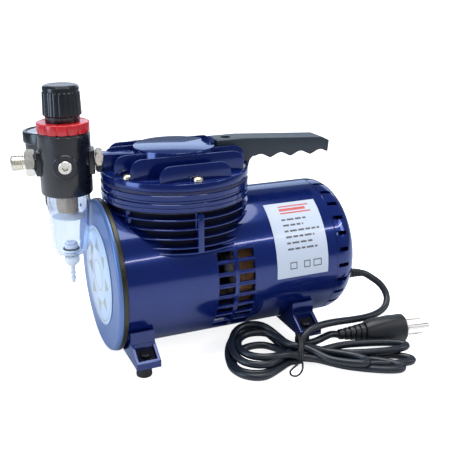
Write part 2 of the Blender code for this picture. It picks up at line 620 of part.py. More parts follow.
FIN_THICKNESS = 2 * MM
SCREW_ROW = HEAD_SCREW_CIRCLE / 2         # the side screws' distance from the middle plane
FIN_ROWS = ((SCREW_ROW - 10.95 * MM, 16.3 * MM), (SCREW_ROW + 5.95 * MM, 15.9 * MM),
            (HEAD_SCREW_CIRCLE - 5.1 * MM, 12.6 * MM))                      # offset, height
FIN_END_RADIUS = HEAD_RADIUS - 3.1 * MM
FIN_CORNER = 9.5 * MM
PORT_BLOCK_REACH = HEAD_RADIUS - 3 * MM
PORT_BLOCK_WIDTH = 13 * MM
PORT_BORE = 4.8 * MM
NIPPLE_FLATS = 17.5 * MM
CHAMBER_RADIUS = 30 * MM
HANDLE_SOCKET = DOME_TOP + 3.2 * MM


def fin(offset, height):
    """One upright fin with rounded shoulders, as long as the deck is wide there."""
    half = math.sqrt(FIN_END_RADIUS ** 2 - offset ** 2)
    low = DECK - 1 * MM
    high = DECK + height
    outline = [(-half, low), (half, low)]
    outline += arc_points((half - FIN_CORNER, high - FIN_CORNER), FIN_CORNER, 0, math.pi / 2, 5)
    outline += arc_points((-half + FIN_CORNER, high - FIN_CORNER), FIN_CORNER, math.pi / 2, math.pi, 5)
    return prism_shape(outline, offset - FIN_THICKNESS / 2, offset + FIN_THICKNESS / 2, "XZ")


def cylinder_head():
    """Deck, fins and dome of the head, with the air port and the socket for the handle."""
    outline = [(0, HEAD_FOOT), (HEAD_RADIUS, HEAD_FOOT), (HEAD_RADIUS, DECK - 0.8 * MM),
               (HEAD_RADIUS - 0.8 * MM, DECK), (0, DECK)]
    head = node("cylinder_head", turned("cylinder_head", outline, 40), BLUE_CASTING, (HEAD_X, 0, 0))
    cut(head, "head_hole_cutter", screw_holes(HEAD_FOOT - 5 * MM, DECK + 5 * MM), (HEAD_X, 0, 0))
    fins = [fin(side * offset, height) for offset, height in FIN_ROWS for side in (-1, 1)]
    add(head, "head_fins", together(*fins), (HEAD_X, 0, 0))
    dome = [(0, DECK - 1 * MM), (DOME_RADIUS, DECK - 1 * MM), (DOME_RADIUS, DOME_TOP - 0.8 * MM),
            (DOME_RADIUS - 0.8 * MM, DOME_TOP), (0, DOME_TOP)]
    add(head, "head_dome", turned_shape(dome, 36), (HEAD_X, 0, 0))
    block = prism_shape(box_points(PORT_BLOCK_REACH - DOME_RADIUS + 6 * MM, PORT_BLOCK_WIDTH,
                                   ((PORT_BLOCK_REACH + DOME_RADIUS - 6 * MM) / 2, 0)),
                        DECK - 1 * MM, PORT_HEIGHT + 7 * MM)
    add(head, "port_block", moved(block, Matrix.Rotation(math.pi - PORT_TURN, 4, "Z")), (HEAD_X, 0, 0))
    wall = arc_points((0, 0), DOME_RADIUS - 0.4 * MM, math.radians(-21), math.radians(21), 9)
    wall += list(reversed(arc_points((0, 0), DOME_RADIUS - 3.4 * MM, math.radians(-21), math.radians(21), 9)))
    add(head, "socket_wall", prism_shape(wall, DOME_TOP - 2 * MM, HANDLE_SOCKET), (HEAD_X, 0, 0))
    chamber = turned_shape(rod_outline(CHAMBER_RADIUS, HEAD_FOOT - 5 * MM, DOME_TOP - 4 * MM), 32)
    cut(head, "chamber_cutter", chamber, (HEAD_X, 0, 0))
    bore = round_bar(PORT_BORE, CHAMBER_RADIUS - 8 * MM, PORT_BLOCK_REACH + 5 * MM, 16,
                     (HEAD_X, 0, PORT_HEIGHT), AIR_LINE)
    cut(head, "port_bore_cutter", bore)
    notch = prism_shape(box_points(10 * MM, NIPPLE_FLATS + 4 * MM, (PORT_BLOCK_REACH + 5 * MM, 0)),
                        PORT_HEIGHT - NIPPLE_FLATS / 2 - 2 * MM, PORT_HEIGHT + 20 * MM)
    cut(head, "nipple_notch_cutter", moved(notch, Matrix.Rotation(math.pi - PORT_TURN, 4, "Z")), (HEAD_X, 0, 0))
    pilot = prism_shape(circle_points(HANDLE_SCREW_RADIUS + GAP, 10, 0, (HANDLE_SCREW_X - HEAD_X, 0)),
                        HEAD_FOOT + 1.5 * MM, DECK + 5 * MM)
    cut(head, "handle_hole_cutter", pilot, (HEAD_X, 0, 0))


def head_screws():
    """Six pan-head screws down through the whole stack."""
    low = SCREW_TIP
    seat = DECK + GAP
    outline = [(0, low), (HEAD_SCREW_RADIUS, low), (HEAD_SCREW_RADIUS, seat), (4.1 * MM, seat),
               (4.1 * MM, seat + 1.6 * MM), (2.6 * MM, seat + 3 * MM), (0, seat + 3.2 * MM)]
    for number, place in enumerate(screw_places(), 1):
        name = f"head_screw_{number}"
        node(name, turned(name, outline, 12), BRASS, (HEAD_X + place[0], place[1], 0))


# Handle

HANDLE_START = HEAD_X + DOME_RADIUS + GAP
HANDLE_SCREW_X = HANDLE_START + 12 * MM
HANDLE_SCREW_RADIUS = 2 * MM
GRIP_PITCH = 19.6 * MM
GRIP_DEPTH = 3.6 * MM


def carry_handle():
    """Moulded grip that reaches back over the motor, with four finger hollows."""
    start = HANDLE_START
    end = start + HANDLE_LENGTH
    seat = DECK + GAP
    heel = HEAD_X + HEAD_RADIUS + GAP
    grip_start = heel + 8.5 * MM
    outline = [(start, seat), (heel, seat), (heel, seat - 5.5 * MM), (heel + 1.2 * MM, seat - 5.5 * MM)]
    outline += [(heel + 1.6 * MM, seat - 1 * MM), (heel + 4 * MM, seat + 2.6 * MM)]
    waves = 28
    for step in range(waves + 1):
        x = grip_start + (end - 3 * MM - grip_start) * step / waves
        drop = 1.6 * MM * (x - grip_start) / HANDLE_LENGTH
        wave = 0.5 + 0.5 * math.cos(2 * math.pi * (x - grip_start - 3.9 * MM) / GRIP_PITCH)
        outline.append((x, seat + 1 * MM + GRIP_DEPTH * wave - drop))
    outline += [(end - 1 * MM, seat + 1.2 * MM), (end, HANDLE_TOP - 8.5 * MM), (end - 7 * MM, HANDLE_TOP - 5 * MM)]
    outline += [(start + 25 * MM, HANDLE_TOP), (start, HANDLE_TOP)]
    half = HANDLE_WIDTH / 2
    handle = node("carry_handle", prism("carry_handle", outline, -half, half, "XZ"), BLACK_PLASTIC)
    soften(handle, 1.6 * MM)
    hole = prism_shape(circle_points(HANDLE_SCREW_RADIUS + GAP, 10, 0, (HANDLE_SCREW_X, 0)),
                       seat - 5 * MM, HANDLE_TOP + 5 * MM)
    cut(handle, "handle_screw_hole", hole)
    recess = prism_shape(circle_points(4.4 * MM, 16, 0, (HANDLE_SCREW_X, 0)), seat + 8 * MM, HANDLE_TOP + 5 * MM)
    cut(handle, "handle_recess", recess)
    low = HEAD_FOOT + 2 * MM
    rest = seat + 8 * MM + GAP
    screw = [(0, low), (HANDLE_SCREW_RADIUS, low), (HANDLE_SCREW_RADIUS, rest), (4 * MM, rest),
             (4 * MM, rest + 3 * MM), (0, rest + 3 * MM)]
    node("handle_screw", turned("handle_screw", screw, 14), STEEL, (HANDLE_SCREW_X, 0, 0))


# Feet

FOOT_Y = 57 * MM
BRACKET_UNDERSIDE = 12.9 * MM
FOOT_STUD_RADIUS = 2.5 * MM


def foot_bracket(name, x, side):
    """Cast foot that hugs the housing and flares out to a toe, with a stud hole for its rubber."""
    seat = HOUSING_RADIUS + GAP
    under = SHAFT_HEIGHT - BRACKET_UNDERSIDE
    inner_end = math.acos(under / seat)
    outline = [(-BRACKET_REACH, -under), (-BRACKET_REACH, -under + 5.4 * MM),
               (-56.6 * MM, -41 * MM), (-56.2 * MM, -30.8 * MM)]
    start = math.radians(210)
    outline += arc_points((0, 0), seat, start, math.radians(270) - inner_end, 8)
    outline = [(side * -y, z) for y, z in outline]
    mesh = prism(name, outline, -BRACKET_WIDTH / 2, BRACKET_WIDTH / 2, "YZ")
    bracket = node(name, mesh, BLUE_CASTING, (x, 0, SHAFT_HEIGHT))
    stud = prism_shape(circle_points(FOOT_STUD_RADIUS + GAP, 12, 0, (x, side * FOOT_Y)),
                       0, BRACKET_UNDERSIDE + 5 * MM)
    cut(bracket, name + "_stud_hole", stud)
    soften_at = bracket.modifiers.new("soften", "BEVEL")
    soften_at.width = 0.8 * MM
    soften_at.segments = 1
    soften_at.limit_method = "ANGLE"
    soften_at.angle_limit = math.radians(50)


def rubber_foot(name, x, side):
    top = BRACKET_UNDERSIDE - GAP
    outline = [(0, 0), (FOOT_RADIUS - 1 * MM, 0), (FOOT_RADIUS, 1 * MM), (FOOT_RADIUS, top),
               (FOOT_STUD_RADIUS, top), (FOOT_STUD_RADIUS, top + 4 * MM), (0, top + 4 * MM)]
    node(name, turned(name, outline, 14), BLACK_RUBBER, (x, side * FOOT_Y, 0))


def feet():
    for end, x in (("front", FRONT_BRACKET_X), ("rear", REAR_BRACKET_X)):
        for hand, side in (("near", -1), ("far", 1)):
            foot_bracket(f"{end}_{hand}_bracket", x, side)
            rubber_foot(f"{end}_{hand}_foot", x, side)


# Regulator and filter

REGULATOR = Vector((REGULATOR_X, REGULATOR_Y, 0))
FRONT_LINE = Vector((-math.sin(PORT_TURN), -math.cos(PORT_TURN), 0))
BOSS_REACH = REGULATOR_RADIUS + 2.4 * MM
THREAD_RADIUS = 4.3 * MM
RING_HEIGHT = 8.2 * MM
KNOB_LENGTH = 28.9 * MM
SCREW_RADIUS = 4 * MM


def head_nipple():
    """Hexagon nipple screwed into the head's port block and the regulator's inlet."""
    start = PORT_BLOCK_REACH + GAP
    end = REGULATOR_REACH - BOSS_REACH - GAP
    shape = prism_shape(hexagon(NIPPLE_FLATS, math.pi / 6), start, end)
    nipple = node("head_nipple", closed_mesh("head_nipple", moved(
        shape, placed((HEAD_X, 0, PORT_HEIGHT), (0, 0, 1), AIR_LINE))), STEEL)
    stem = round_bar(THREAD_RADIUS, start - 8 * MM, end + 8 * MM, 14, (HEAD_X, 0, PORT_HEIGHT), AIR_LINE)
    add(nipple, "nipple_stem", stem)


def regulator_body():
    """Round body with square side bosses, a round front boss and a gauge port behind."""
    foot = REGULATOR_FOOT
    top = REGULATOR_TOP
    outline = [(0, foot), (REGULATOR_RADIUS - 1.6 * MM, foot), (REGULATOR_RADIUS, foot + 1.6 * MM),
               (REGULATOR_RADIUS, top - 0.5 * MM), (REGULATOR_RADIUS - 0.5 * MM, top), (0, top)]
    body = node("regulator_body", turned("regulator_body", outline, 32), BLACK_PLASTIC, REGULATOR)
    level = Vector((0, 0, PORT_HEIGHT))
    bosses = []
    for line in (AIR_LINE, -AIR_LINE):
        boss = prism_shape(box_points(20 * MM, 17 * MM), 12 * MM, BOSS_REACH)
        bosses.append(moved(boss, placed(level, (0, 0, 1), line)))
    bosses.append(round_bar(9.9 * MM, 12 * MM, REGULATOR_RADIUS + 0.9 * MM, 24, level, FRONT_LINE))
    bosses.append(round_bar(8 * MM, 12 * MM, REGULATOR_RADIUS + 2 * MM, 20, level, GAUGE_LINE))
    for number, boss in enumerate(bosses, 1):
        add(body, f"regulator_boss_{number}", boss, REGULATOR)
    ports = [round_bar(THREAD_RADIUS + GAP, 14 * MM, 30 * MM, 14, level, line)
             for line in (AIR_LINE, -AIR_LINE, FRONT_LINE, GAUGE_LINE)]
    cut(body, "regulator_port_cutter", together(*ports), REGULATOR)
    stem = turned_shape(rod_outline(SCREW_RADIUS + RUNNING, REGULATOR_TOP - 12 * MM, REGULATOR_TOP + 5 * MM), 20)
    cut(body, "regulator_screw_hole", stem, REGULATOR)
    well = turned_shape(rod_outline(BOWL_RADIUS - 4 * MM, foot - 5 * MM, foot + BOWL_WELL), 28)
    cut(body, "regulator_bowl_well", well, REGULATOR)


def bonnet_ring():
    """Scalloped red locking ring under the knob."""
    lobes = 14
    outline = []
    for step in range(4 * lobes):
        radius = REGULATOR_RADIUS - 0.7 * MM + 0.7 * MM * math.cos(math.pi * step / 2)
        angle = 2 * math.pi * step / (4 * lobes)
        outline.append((radius * math.cos(angle), radius * math.sin(angle)))
    foot = REGULATOR_TOP + GAP
    ring = node("bonnet_ring", prism("bonnet_ring", outline, foot, foot + RING_HEIGHT), RED_PLASTIC, REGULATOR)
    hole = turned_shape(rod_outline(SCREW_RADIUS + RUNNING, foot - 5 * MM, foot + 20 * MM), 20)
    cut(ring, "bonnet_hole", hole, REGULATOR)


def pressure_knob():
    """Ribbed knob that lifts to unlock, over the adjusting screw that it turns."""
    foot = REGULATOR_TOP + GAP + RING_HEIGHT + GAP
    top = foot + KNOB_LENGTH
    flutes = 20
    outline = []
    for step in range(2 * flutes):
        radius = KNOB_RADIUS - (0.35 * MM if step % 2 else 0)
        angle = math.pi * step / flutes
        outline.append((radius * math.cos(angle), radius * math.sin(angle)))
    skirt = prism("pressure_knob", outline, foot + 4.9 * MM, top - 4.5 * MM)
    knob = node("pressure_knob", skirt, BLACK_PLASTIC, REGULATOR)
    add(knob, "knob_collar", turned_shape(rod_outline(KNOB_RADIUS - 1.6 * MM, foot, foot + 6 * MM), 32), REGULATOR)
    crown = [(0, top - 6 * MM), (KNOB_RADIUS - 0.9 * MM, top - 6 * MM), (KNOB_RADIUS - 1.1 * MM, top - 1.8 * MM),
             (KNOB_RADIUS - 2.6 * MM, top - 0.2 * MM), (KNOB_RADIUS - 4 * MM, top), (0, top)]
    add(knob, "knob_crown", turned_shape(crown, 32), REGULATOR)
    socket = prism_shape(hexagon(2 * (SCREW_RADIUS + 1 * MM) + 2 * GAP), foot - 5 * MM, foot + 18 * MM)
    cut(knob, "knob_socket", socket, REGULATOR)
    stem = rod_outline(SCREW_RADIUS, REGULATOR_TOP - 10 * MM, foot + 1 * MM)
    screw = node("adjusting_screw", turned("adjusting_screw", stem, 20), STEEL, REGULATOR)
    drive = prism_shape(hexagon(2 * (SCREW_RADIUS + 1 * MM)), foot, foot + 13.5 * MM)
    add(screw, "screw_drive", drive, REGULATOR)


def port_fittings():
    """Hexagon-socket plug in front and the threaded air outlet on the free side."""
    level = Vector((REGULATOR_X, REGULATOR_Y, PORT_HEIGHT))
    face = REGULATOR_RADIUS + 0.9 * MM + GAP
    plug = turned_shape([(0, 15 * MM), (THREAD_RADIUS, 15 * MM), (THREAD_RADIUS, face), (5 * MM, face),
                         (5 * MM, face + 1.4 * MM), (0, face + 1.4 * MM)], 20)
    port_plug = node("port_plug", closed_mesh("port_plug", moved(plug, placed(level, (0, 0, 1), FRONT_LINE))),
                     NICKEL)
    socket = moved(prism_shape(hexagon(4.6 * MM), face - 2 * MM, face + 5 * MM),
                   placed(level, (0, 0, 1), FRONT_LINE))
    cut(port_plug, "plug_socket", socket)
    start = BOSS_REACH + GAP
    hex_end = start + 8.1 * MM
    thread = [(0, hex_end - 1 * MM), (5.6 * MM, hex_end - 1 * MM), (5.6 * MM, hex_end + 1.6 * MM),
              (6.6 * MM, hex_end + 2.2 * MM), (6.6 * MM, OUTLET_REACH - 0.8 * MM), (5.8 * MM, OUTLET_REACH),
              (0, OUTLET_REACH)]
    body = moved(prism_shape(hexagon(19 * MM), start, hex_end), placed(level, (0, 0, 1), AIR_LINE))
    outlet = node("outlet_fitting", closed_mesh("outlet_fitting", body), NICKEL)
    add(outlet, "outlet_thread", moved(turned_shape(thread, 24), placed(level, (0, 0, 1), AIR_LINE)))
    add(outlet, "outlet_stem", round_bar(THREAD_RADIUS, 15 * MM, start + 1 * MM, 14, level, AIR_LINE))
    bore = round_bar(2.6 * MM, 10 * MM, OUTLET_REACH + 5 * MM, 14, level, AIR_LINE)
    cut(outlet, "outlet_bore", bore)


GAUGE = Vector((GAUGE_X, GAUGE_Y, 0))
GAUGE_FOOT = PORT_HEIGHT - 5.2 * MM
GAUGE_HEIGHT = 22.4 * MM
GAUGE_TOP = GAUGE_FOOT + GAUGE_HEIGHT
NEEDLE_HEIGHT = GAUGE_TOP - 4.6 * MM
NEEDLE_REST = math.radians(135)             # from +Y, with no pressure
SPINDLE_RADIUS = 1.1 * MM


def gauge():
    """Pressure gauge lying face up on its side stem, with dial, needle and lens."""
    case_radius = GAUGE_RADIUS - 1.6 * MM
    bezel = GAUGE_TOP - 9.5 * MM
    well = GAUGE_RADIUS - 3.2 * MM
    outline = [(0, GAUGE_FOOT), (case_radius - 1 * MM, GAUGE_FOOT), (case_radius, GAUGE_FOOT + 1 * MM),
               (case_radius, bezel), (GAUGE_RADIUS, bezel), (GAUGE_RADIUS, GAUGE_TOP - 1 * MM),
               (GAUGE_RADIUS - 1 * MM, GAUGE_TOP), (well, GAUGE_TOP), (well, GAUGE_TOP - 7 * MM),
               (0, GAUGE_TOP - 7 * MM)]
    case = node("gauge_case", turned("gauge_case", outline, 30), BLACK_PLASTIC, GAUGE)
    level = Vector((0, 0, PORT_HEIGHT))
    stem = round_bar(THREAD_RADIUS, case_radius - 4 * MM, GAUGE_REACH - 15 * MM, 14, level, -GAUGE_LINE)
    add(case, "gauge_stem", stem, GAUGE)
    collar = round_bar(6.5 * MM, case_radius - 4 * MM, GAUGE_REACH - REGULATOR_RADIUS - 2 * MM - GAP,
                       16, level, -GAUGE_LINE)
    add(case, "gauge_collar", collar, GAUGE)
    pivot = turned_shape(rod_outline(SPINDLE_RADIUS + RUNNING, GAUGE_TOP - 9 * MM, GAUGE_TOP), 12)
    cut(case, "gauge_pivot_cutter", pivot, GAUGE)
    dial = tube_outline(SPINDLE_RADIUS + RUNNING, well - GAP, GAUGE_TOP - 7 * MM + GAP, GAUGE_TOP - 6.2 * MM)
    node("gauge_dial", turned("gauge_dial", dial, 32), DIAL_CARD, GAUGE)
    pointer = [(-1.2 * MM, -5 * MM), (1.2 * MM, -5 * MM), (1.6 * MM, 0), (0.3 * MM, 14.5 * MM),
               (-0.3 * MM, 14.5 * MM), (-1.6 * MM, 0)]
    shape = prism_shape(pointer, NEEDLE_HEIGHT, NEEDLE_HEIGHT + 0.6 * MM)
    shape = moved(shape, Matrix.Rotation(NEEDLE_REST, 4, "Z"))
    needle = node("gauge_needle", closed_mesh("gauge_needle", shape), NEEDLE_PAINT, GAUGE)
    hub = [(0, GAUGE_TOP - 8.6 * MM), (SPINDLE_RADIUS, GAUGE_TOP - 8.6 * MM),
           (SPINDLE_RADIUS, NEEDLE_HEIGHT - 0.9 * MM), (2.2 * MM, NEEDLE_HEIGHT - 0.9 * MM),
           (2.2 * MM, NEEDLE_HEIGHT + 1.1 * MM), (0, NEEDLE_HEIGHT + 1.1 * MM)]
    hub = turned_shape(hub, 12)
    add(needle, "needle_hub", hub, GAUGE)
    lens = rod_outline(well - GAP, GAUGE_TOP - 2.2 * MM, GAUGE_TOP - 0.7 * MM)
    node("gauge_lens", turned("gauge_lens", lens, 32), CLEAR_PLASTIC, GAUGE)


BOWL_TOP = REGULATOR_FOOT - GAP
BOWL_FOOT = BOWL_TOP - BOWL_LENGTH
BOWL_WALL = 1.8 * MM
DRAIN_BORE = 3 * MM
DRAIN_LIFT = 2 * MM


def filter_bowl():
    """Clear bowl with a drain hole, and the filter element and baffle that hang from the body into it."""
    low = BOWL_RADIUS - 1.6 * MM
    corner = 9 * MM
    outer = arc_points((low - corner, BOWL_FOOT + corner), corner, -math.pi / 2, 0, 4)
    inner_corner = corner - BOWL_WALL
    inner = arc_points((low - corner, BOWL_FOOT + corner), inner_corner, -math.pi / 2, 0, 4)
    outline = [(DRAIN_BORE, BOWL_FOOT)] + outer
    outline += [(BOWL_RADIUS, BOWL_TOP - 13 * MM), (BOWL_RADIUS + 1.5 * MM, BOWL_TOP - 7 * MM),
                (BOWL_RADIUS + 1.5 * MM, BOWL_TOP), (BOWL_RADIUS - BOWL_WALL, BOWL_TOP)]
    outline += [(BOWL_RADIUS - BOWL_WALL, BOWL_TOP - 13 * MM)]
    outline += list(reversed(inner)) + [(DRAIN_BORE, BOWL_FOOT + BOWL_WALL)]
    node("filter_bowl", turned("filter_bowl", outline, 28), CLEAR_PLASTIC, REGULATOR)
    element = tube_outline(3.2 * MM, 8.2 * MM, BOWL_TOP - 15.2 * MM, BOWL_TOP + 6 * MM)
    node("filter_element", turned("filter_element", element, 24), BRONZE_FILTER, REGULATOR)
    foot = BOWL_TOP - 15.2 * MM - GAP
    baffle = [(0, foot - 3.6 * MM), (BOWL_RADIUS - BOWL_WALL - 1.6 * MM, foot - 4.4 * MM),
              (BOWL_RADIUS - BOWL_WALL - 1.2 * MM, foot - 3.4 * MM), (6 * MM, foot - 1 * MM), (6 * MM, foot),
              (2.9 * MM, foot), (2.9 * MM, REGULATOR_FOOT + BOWL_WELL - GAP), (0, REGULATOR_FOOT + BOWL_WELL - GAP)]
    node("baffle_disc", turned("baffle_disc", baffle, 32), WHITE_PLASTIC, REGULATOR)


def drain():
    """Nut inside the bowl and the push-in drain stem with its hose barb."""
    floor = BOWL_FOOT + BOWL_WALL + GAP
    nut = [(DRAIN_BORE, floor), (7 * MM, floor), (7 * MM, floor + 2 * MM), (5.6 * MM, floor + 3.4 * MM),
           (5.6 * MM, floor + 7 * MM), (DRAIN_BORE, floor + 7 * MM)]
    node("drain_nut", turned("drain_nut", nut, 24), WHITE_PLASTIC, REGULATOR)
    stem = DRAIN_BORE - RUNNING
    under = BOWL_FOOT - GAP - DRAIN_LIFT
    tip = under - 24 * MM
    outline = [(0, floor + 8.6 * MM), (4.4 * MM, floor + 8.6 * MM), (4.4 * MM, floor + 7 * MM + GAP),
               (stem, floor + 7 * MM + GAP), (stem, under), (6.4 * MM, under), (6.4 * MM, under - 5 * MM),
               (4.2 * MM, under - 8 * MM), (1.9 * MM, under - 9.4 * MM)]
    barbs = 3
    for barb in range(barbs):
        level = under - 10.5 * MM - barb * 4.2 * MM
        outline += [(2.4 * MM, level), (1.7 * MM, level - 3.4 * MM)]
    outline += [(1.5 * MM, tip), (0, tip)]
    node("drain_stem", turned("drain_stem", list(reversed(outline)), 14), WHITE_PLASTIC, REGULATOR)


# Cord, as it lies

RELIEF_LENGTH = 17 * MM
RELIEF_END = CORD_EXIT + Vector((RELIEF_LENGTH, -1 * MM, -1.6 * MM))
HANK_HEIGHT = 15.8 * MM
TIE = Vector((138.5 * MM, -86.5 * MM, 0))          # where the hank is tied
HANK_TURN = math.radians(-23)
PLUG_FRONT = Vector((241 * MM, -89.5 * MM, 13 * MM))
PLUG_TURN = math.radians(-10)
PLUG_ROLL = math.radians(25)
PLUG_LENGTH = 36 * MM
PLUG_RELIEF = 26 * MM
CORD_ROUTE = [
    RELIEF_END + Vector((0.6, 0, 0)) * MM,
    RELIEF_END + Vector((3.6, -0.1, -0.2)) * MM,
    Vector((236.5, -39.4, 42.6)) * MM,
    Vector((243.5, -46.0, 37.0)) * MM,
    Vector((245.5, -55.0, 28.0)) * MM,
    Vector((238.5, -62.5, 21.5)) * MM,
    Vector((227.0, -67.0, 19.2)) * MM,
    Vector((214.0, -70.0, 19.4)) * MM,
    Vector((199.0, -73.5, 21.5)) * MM,
    Vector((180.0, -77.5, 24.8)) * MM,
    Vector((162.0, -80.5, 26.4)) * MM,
    Vector((149.0, -82.8, 24.8)) * MM,
    Vector((140.5, -86.0, 19.6)) * MM,
]


def strain_relief():
    """Slim tapered sleeve that the cord leaves the bell through, with a lip inside the wall."""
    bore = CORD_HOLE - GAP
    outline = [(0, -7 * MM), (5.6 * MM, -7 * MM), (5.6 * MM, -4 * MM), (bore, -4 * MM),
               (bore, 1 * MM), (3.6 * MM, RELIEF_LENGTH), (0, RELIEF_LENGTH)]
    shape = turned_shape(outline, 20)
    shape = moved(shape, placed(CORD_EXIT, (0, 0, 1), (1, 0, 0)))
    drop = RELIEF_END - CORD_EXIT
    for point in shape.verts:
        along = max(point.co.x - CORD_EXIT.x - 1 * MM, 0) / RELIEF_LENGTH
        point.co.y += along * along * drop.y
        point.co.z += along * along * drop.z
    node("strain_relief", closed_mesh("strain_relief", shape), BLACK_RUBBER)


def smooth_route(points, spacing):
    """Points at an even spacing on a Catmull-Rom curve through the route."""
    ends = [2 * points[0] - points[1]] + points + [2 * points[-1] - points[-2]]
    fine = []
    for index in range(1, len(ends) - 2):
        before, start, end, after = ends[index - 1:index + 3]
        for step in range(24):
            t = step / 24
            fine.append(0.5 * ((2 * start) + (end - before) * t
                               + (2 * before - 5 * start + 4 * end - after) * t * t
                               + (3 * start - before - 3 * end + after) * t ** 3))
    fine.append(points[-1])
    chosen = [fine[0]]
    travelled = 0.0
    for first, second in zip(fine, fine[1:]):
        travelled += (second - first).length
        if travelled >= spacing:
            chosen.append(second)
            travelled = 0.0
    chosen[-1] = fine[-1]
    return chosen


def power_cord():
    """The free stretch of the lead, from the strain relief to the top of the hank."""
    curve = bpy.data.curves.new("power_cord", "CURVE")
    curve.dimensions = "3D"
    curve.bevel_depth = CORD_RADIUS
    curve.bevel_resolution = 3
    curve.use_fill_caps = True
    spline = curve.splines.new("POLY")
    points = CORD_ROUTE[:1] + smooth_route(CORD_ROUTE[1:], 4.4 * CORD_RADIUS)
    spline.points.add(len(points) - 1)
    for target, place in zip(spline.points, points):
        target.co = (*place, 1)
    curve.materials.append(CORD_SHEATH)
    cord = bpy.data.objects.new("power_cord", curve)
    cord.parent = frame_empty
    scene_root.objects.link(cord)


def hank_outline():
    """Outer shape of the tied hank, seen from above: a round loop, a neck and a long loop."""
    neck = 10 * MM
    long_loop = (75 * MM, -8 * MM)
    long_radius = 21 * MM
    outline = [(0, -neck), (12 * MM, -21 * MM), (26 * MM, -28 * MM)]
    outline += arc_points(long_loop, long_radius, -math.pi / 2, math.pi / 2, 12)
    outline += [(20 * MM, 13 * MM), (0, neck)]
    for x, y in arc_points((0, 0), 1, math.radians(50), math.radians(310), 20):
        outline.append((-31 * MM + 28 * MM * x, 31 * MM * y))
    return outline


def cord_hank():
    """The coiled part of the lead as one solid of its outer shape."""
    mesh = prism("cord_hank", hank_outline(), 0.2 * MM, HANK_HEIGHT)
    node("cord_hank", mesh, CORD_SHEATH, TIE, (0, 0, HANK_TURN))


def mains_plug():
    """Moulded plug lying beside the hank, and the pins on their carrier."""
    along = Vector((math.cos(PLUG_TURN), math.sin(PLUG_TURN), 0))
    across = Vector((0, math.sin(PLUG_ROLL), math.cos(PLUG_ROLL)))
    lie = placed(PLUG_FRONT, across, along)
    body_back = -PLUG_LENGTH
    shape = bmesh.new()
    sections = [(-1.6 * MM, 12.2 * MM, 11.0 * MM), (-14 * MM, 12.4 * MM, 11.2 * MM),
                (-24 * MM, 11 * MM, 10.4 * MM), (body_back, 7 * MM, 7 * MM),
                (body_back - 4 * MM, 5.6 * MM, 5.6 * MM),
                (body_back - PLUG_RELIEF, 4.2 * MM, 4.2 * MM)]
    steps = 24
    rings = []
    for depth, wide, high in sections:
        ring = []
        for step in range(steps):
            angle = 2 * math.pi * step / steps
            ring.append(shape.verts.new((wide * math.cos(angle), high * math.sin(angle), depth)))
        rings.append(ring)
    shape.faces.new(rings[0])
    shape.faces.new(rings[-1])
    for first, second in zip(rings, rings[1:]):
        for step in range(steps):
            after = (step + 1) % steps
            shape.faces.new((first[step], first[after], second[after], second[step]))
    node("plug_body", closed_mesh("plug_body", moved(shape, lie)), BLACK_PLASTIC)
    carrier = prism_shape(circle_points(10 * MM, 20), -1.6 * MM + GAP, 0)
    pins = node("plug_pins", closed_mesh("plug_pins", moved(carrier, lie)), NICKEL)
    blades = [prism_shape(box_points(1.6 * MM, 6.3 * MM, (0, 0)), -0.5 * MM, 17 * MM) for _ in range(2)]
    for blade, offset in zip(blades, (-6.35 * MM, 6.35 * MM)):
        moved(blade, Matrix.Translation((offset, -2.5 * MM, 0)))
    ground = turned_shape(rod_outline(2.4 * MM, -0.5 * MM, 21 * MM), 14)
    moved(ground, Matrix.Translation((0, 6 * MM, 0)))
    add(pins, "plug_blades", moved(together(*blades, ground), lie))


front_start = front_cap()
rear_start = rear_bell()
motor_housing()
rating_label()
stator()
rotating_parts(front_start, rear_start)
connecting_rod()
crankcase()
diaphragm_stack()
cylinder_head()
head_screws()
carry_handle()
feet()
head_nipple()
regulator_body()
bonnet_ring()
pressure_knob()
port_fittings()
gauge()
filter_bowl()
drain()
strain_relief()
power_cord()
cord_hank()
mains_plug()
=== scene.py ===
import math

import bpy
from mathutils import Matrix, Vector


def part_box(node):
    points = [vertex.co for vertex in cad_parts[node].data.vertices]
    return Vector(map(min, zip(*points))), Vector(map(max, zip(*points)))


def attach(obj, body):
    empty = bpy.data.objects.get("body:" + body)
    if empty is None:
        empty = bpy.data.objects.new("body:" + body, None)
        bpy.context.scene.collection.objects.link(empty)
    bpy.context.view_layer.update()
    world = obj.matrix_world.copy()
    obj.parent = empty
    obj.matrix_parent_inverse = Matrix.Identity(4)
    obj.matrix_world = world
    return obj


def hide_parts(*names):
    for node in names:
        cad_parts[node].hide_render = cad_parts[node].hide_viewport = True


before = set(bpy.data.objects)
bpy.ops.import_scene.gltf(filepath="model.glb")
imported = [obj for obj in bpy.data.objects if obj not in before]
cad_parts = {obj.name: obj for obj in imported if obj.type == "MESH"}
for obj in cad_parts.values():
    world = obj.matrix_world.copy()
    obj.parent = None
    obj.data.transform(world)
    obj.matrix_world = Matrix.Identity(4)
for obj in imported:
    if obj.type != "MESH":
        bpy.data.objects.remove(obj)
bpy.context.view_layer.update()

# The assembly's own axes: x from the front cap's back edge along the motor shaft, y from the
# shaft, z up from the table, all in millimetres.
MM = 0.001
ALONG = Vector((1, 0, 0))
ACROSS = Vector((0, 1, 0))
UP = Vector((0, 0, 1))
housing_low, housing_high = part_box("motor_housing")
FRONT_X = housing_low.x - 0.3 * MM
SHAFT_Y = (housing_low.y + housing_high.y) / 2
SHAFT_Z = 69


def at(x, y, z):
    return Vector((FRONT_X + x * MM, SHAFT_Y + y * MM, z * MM))


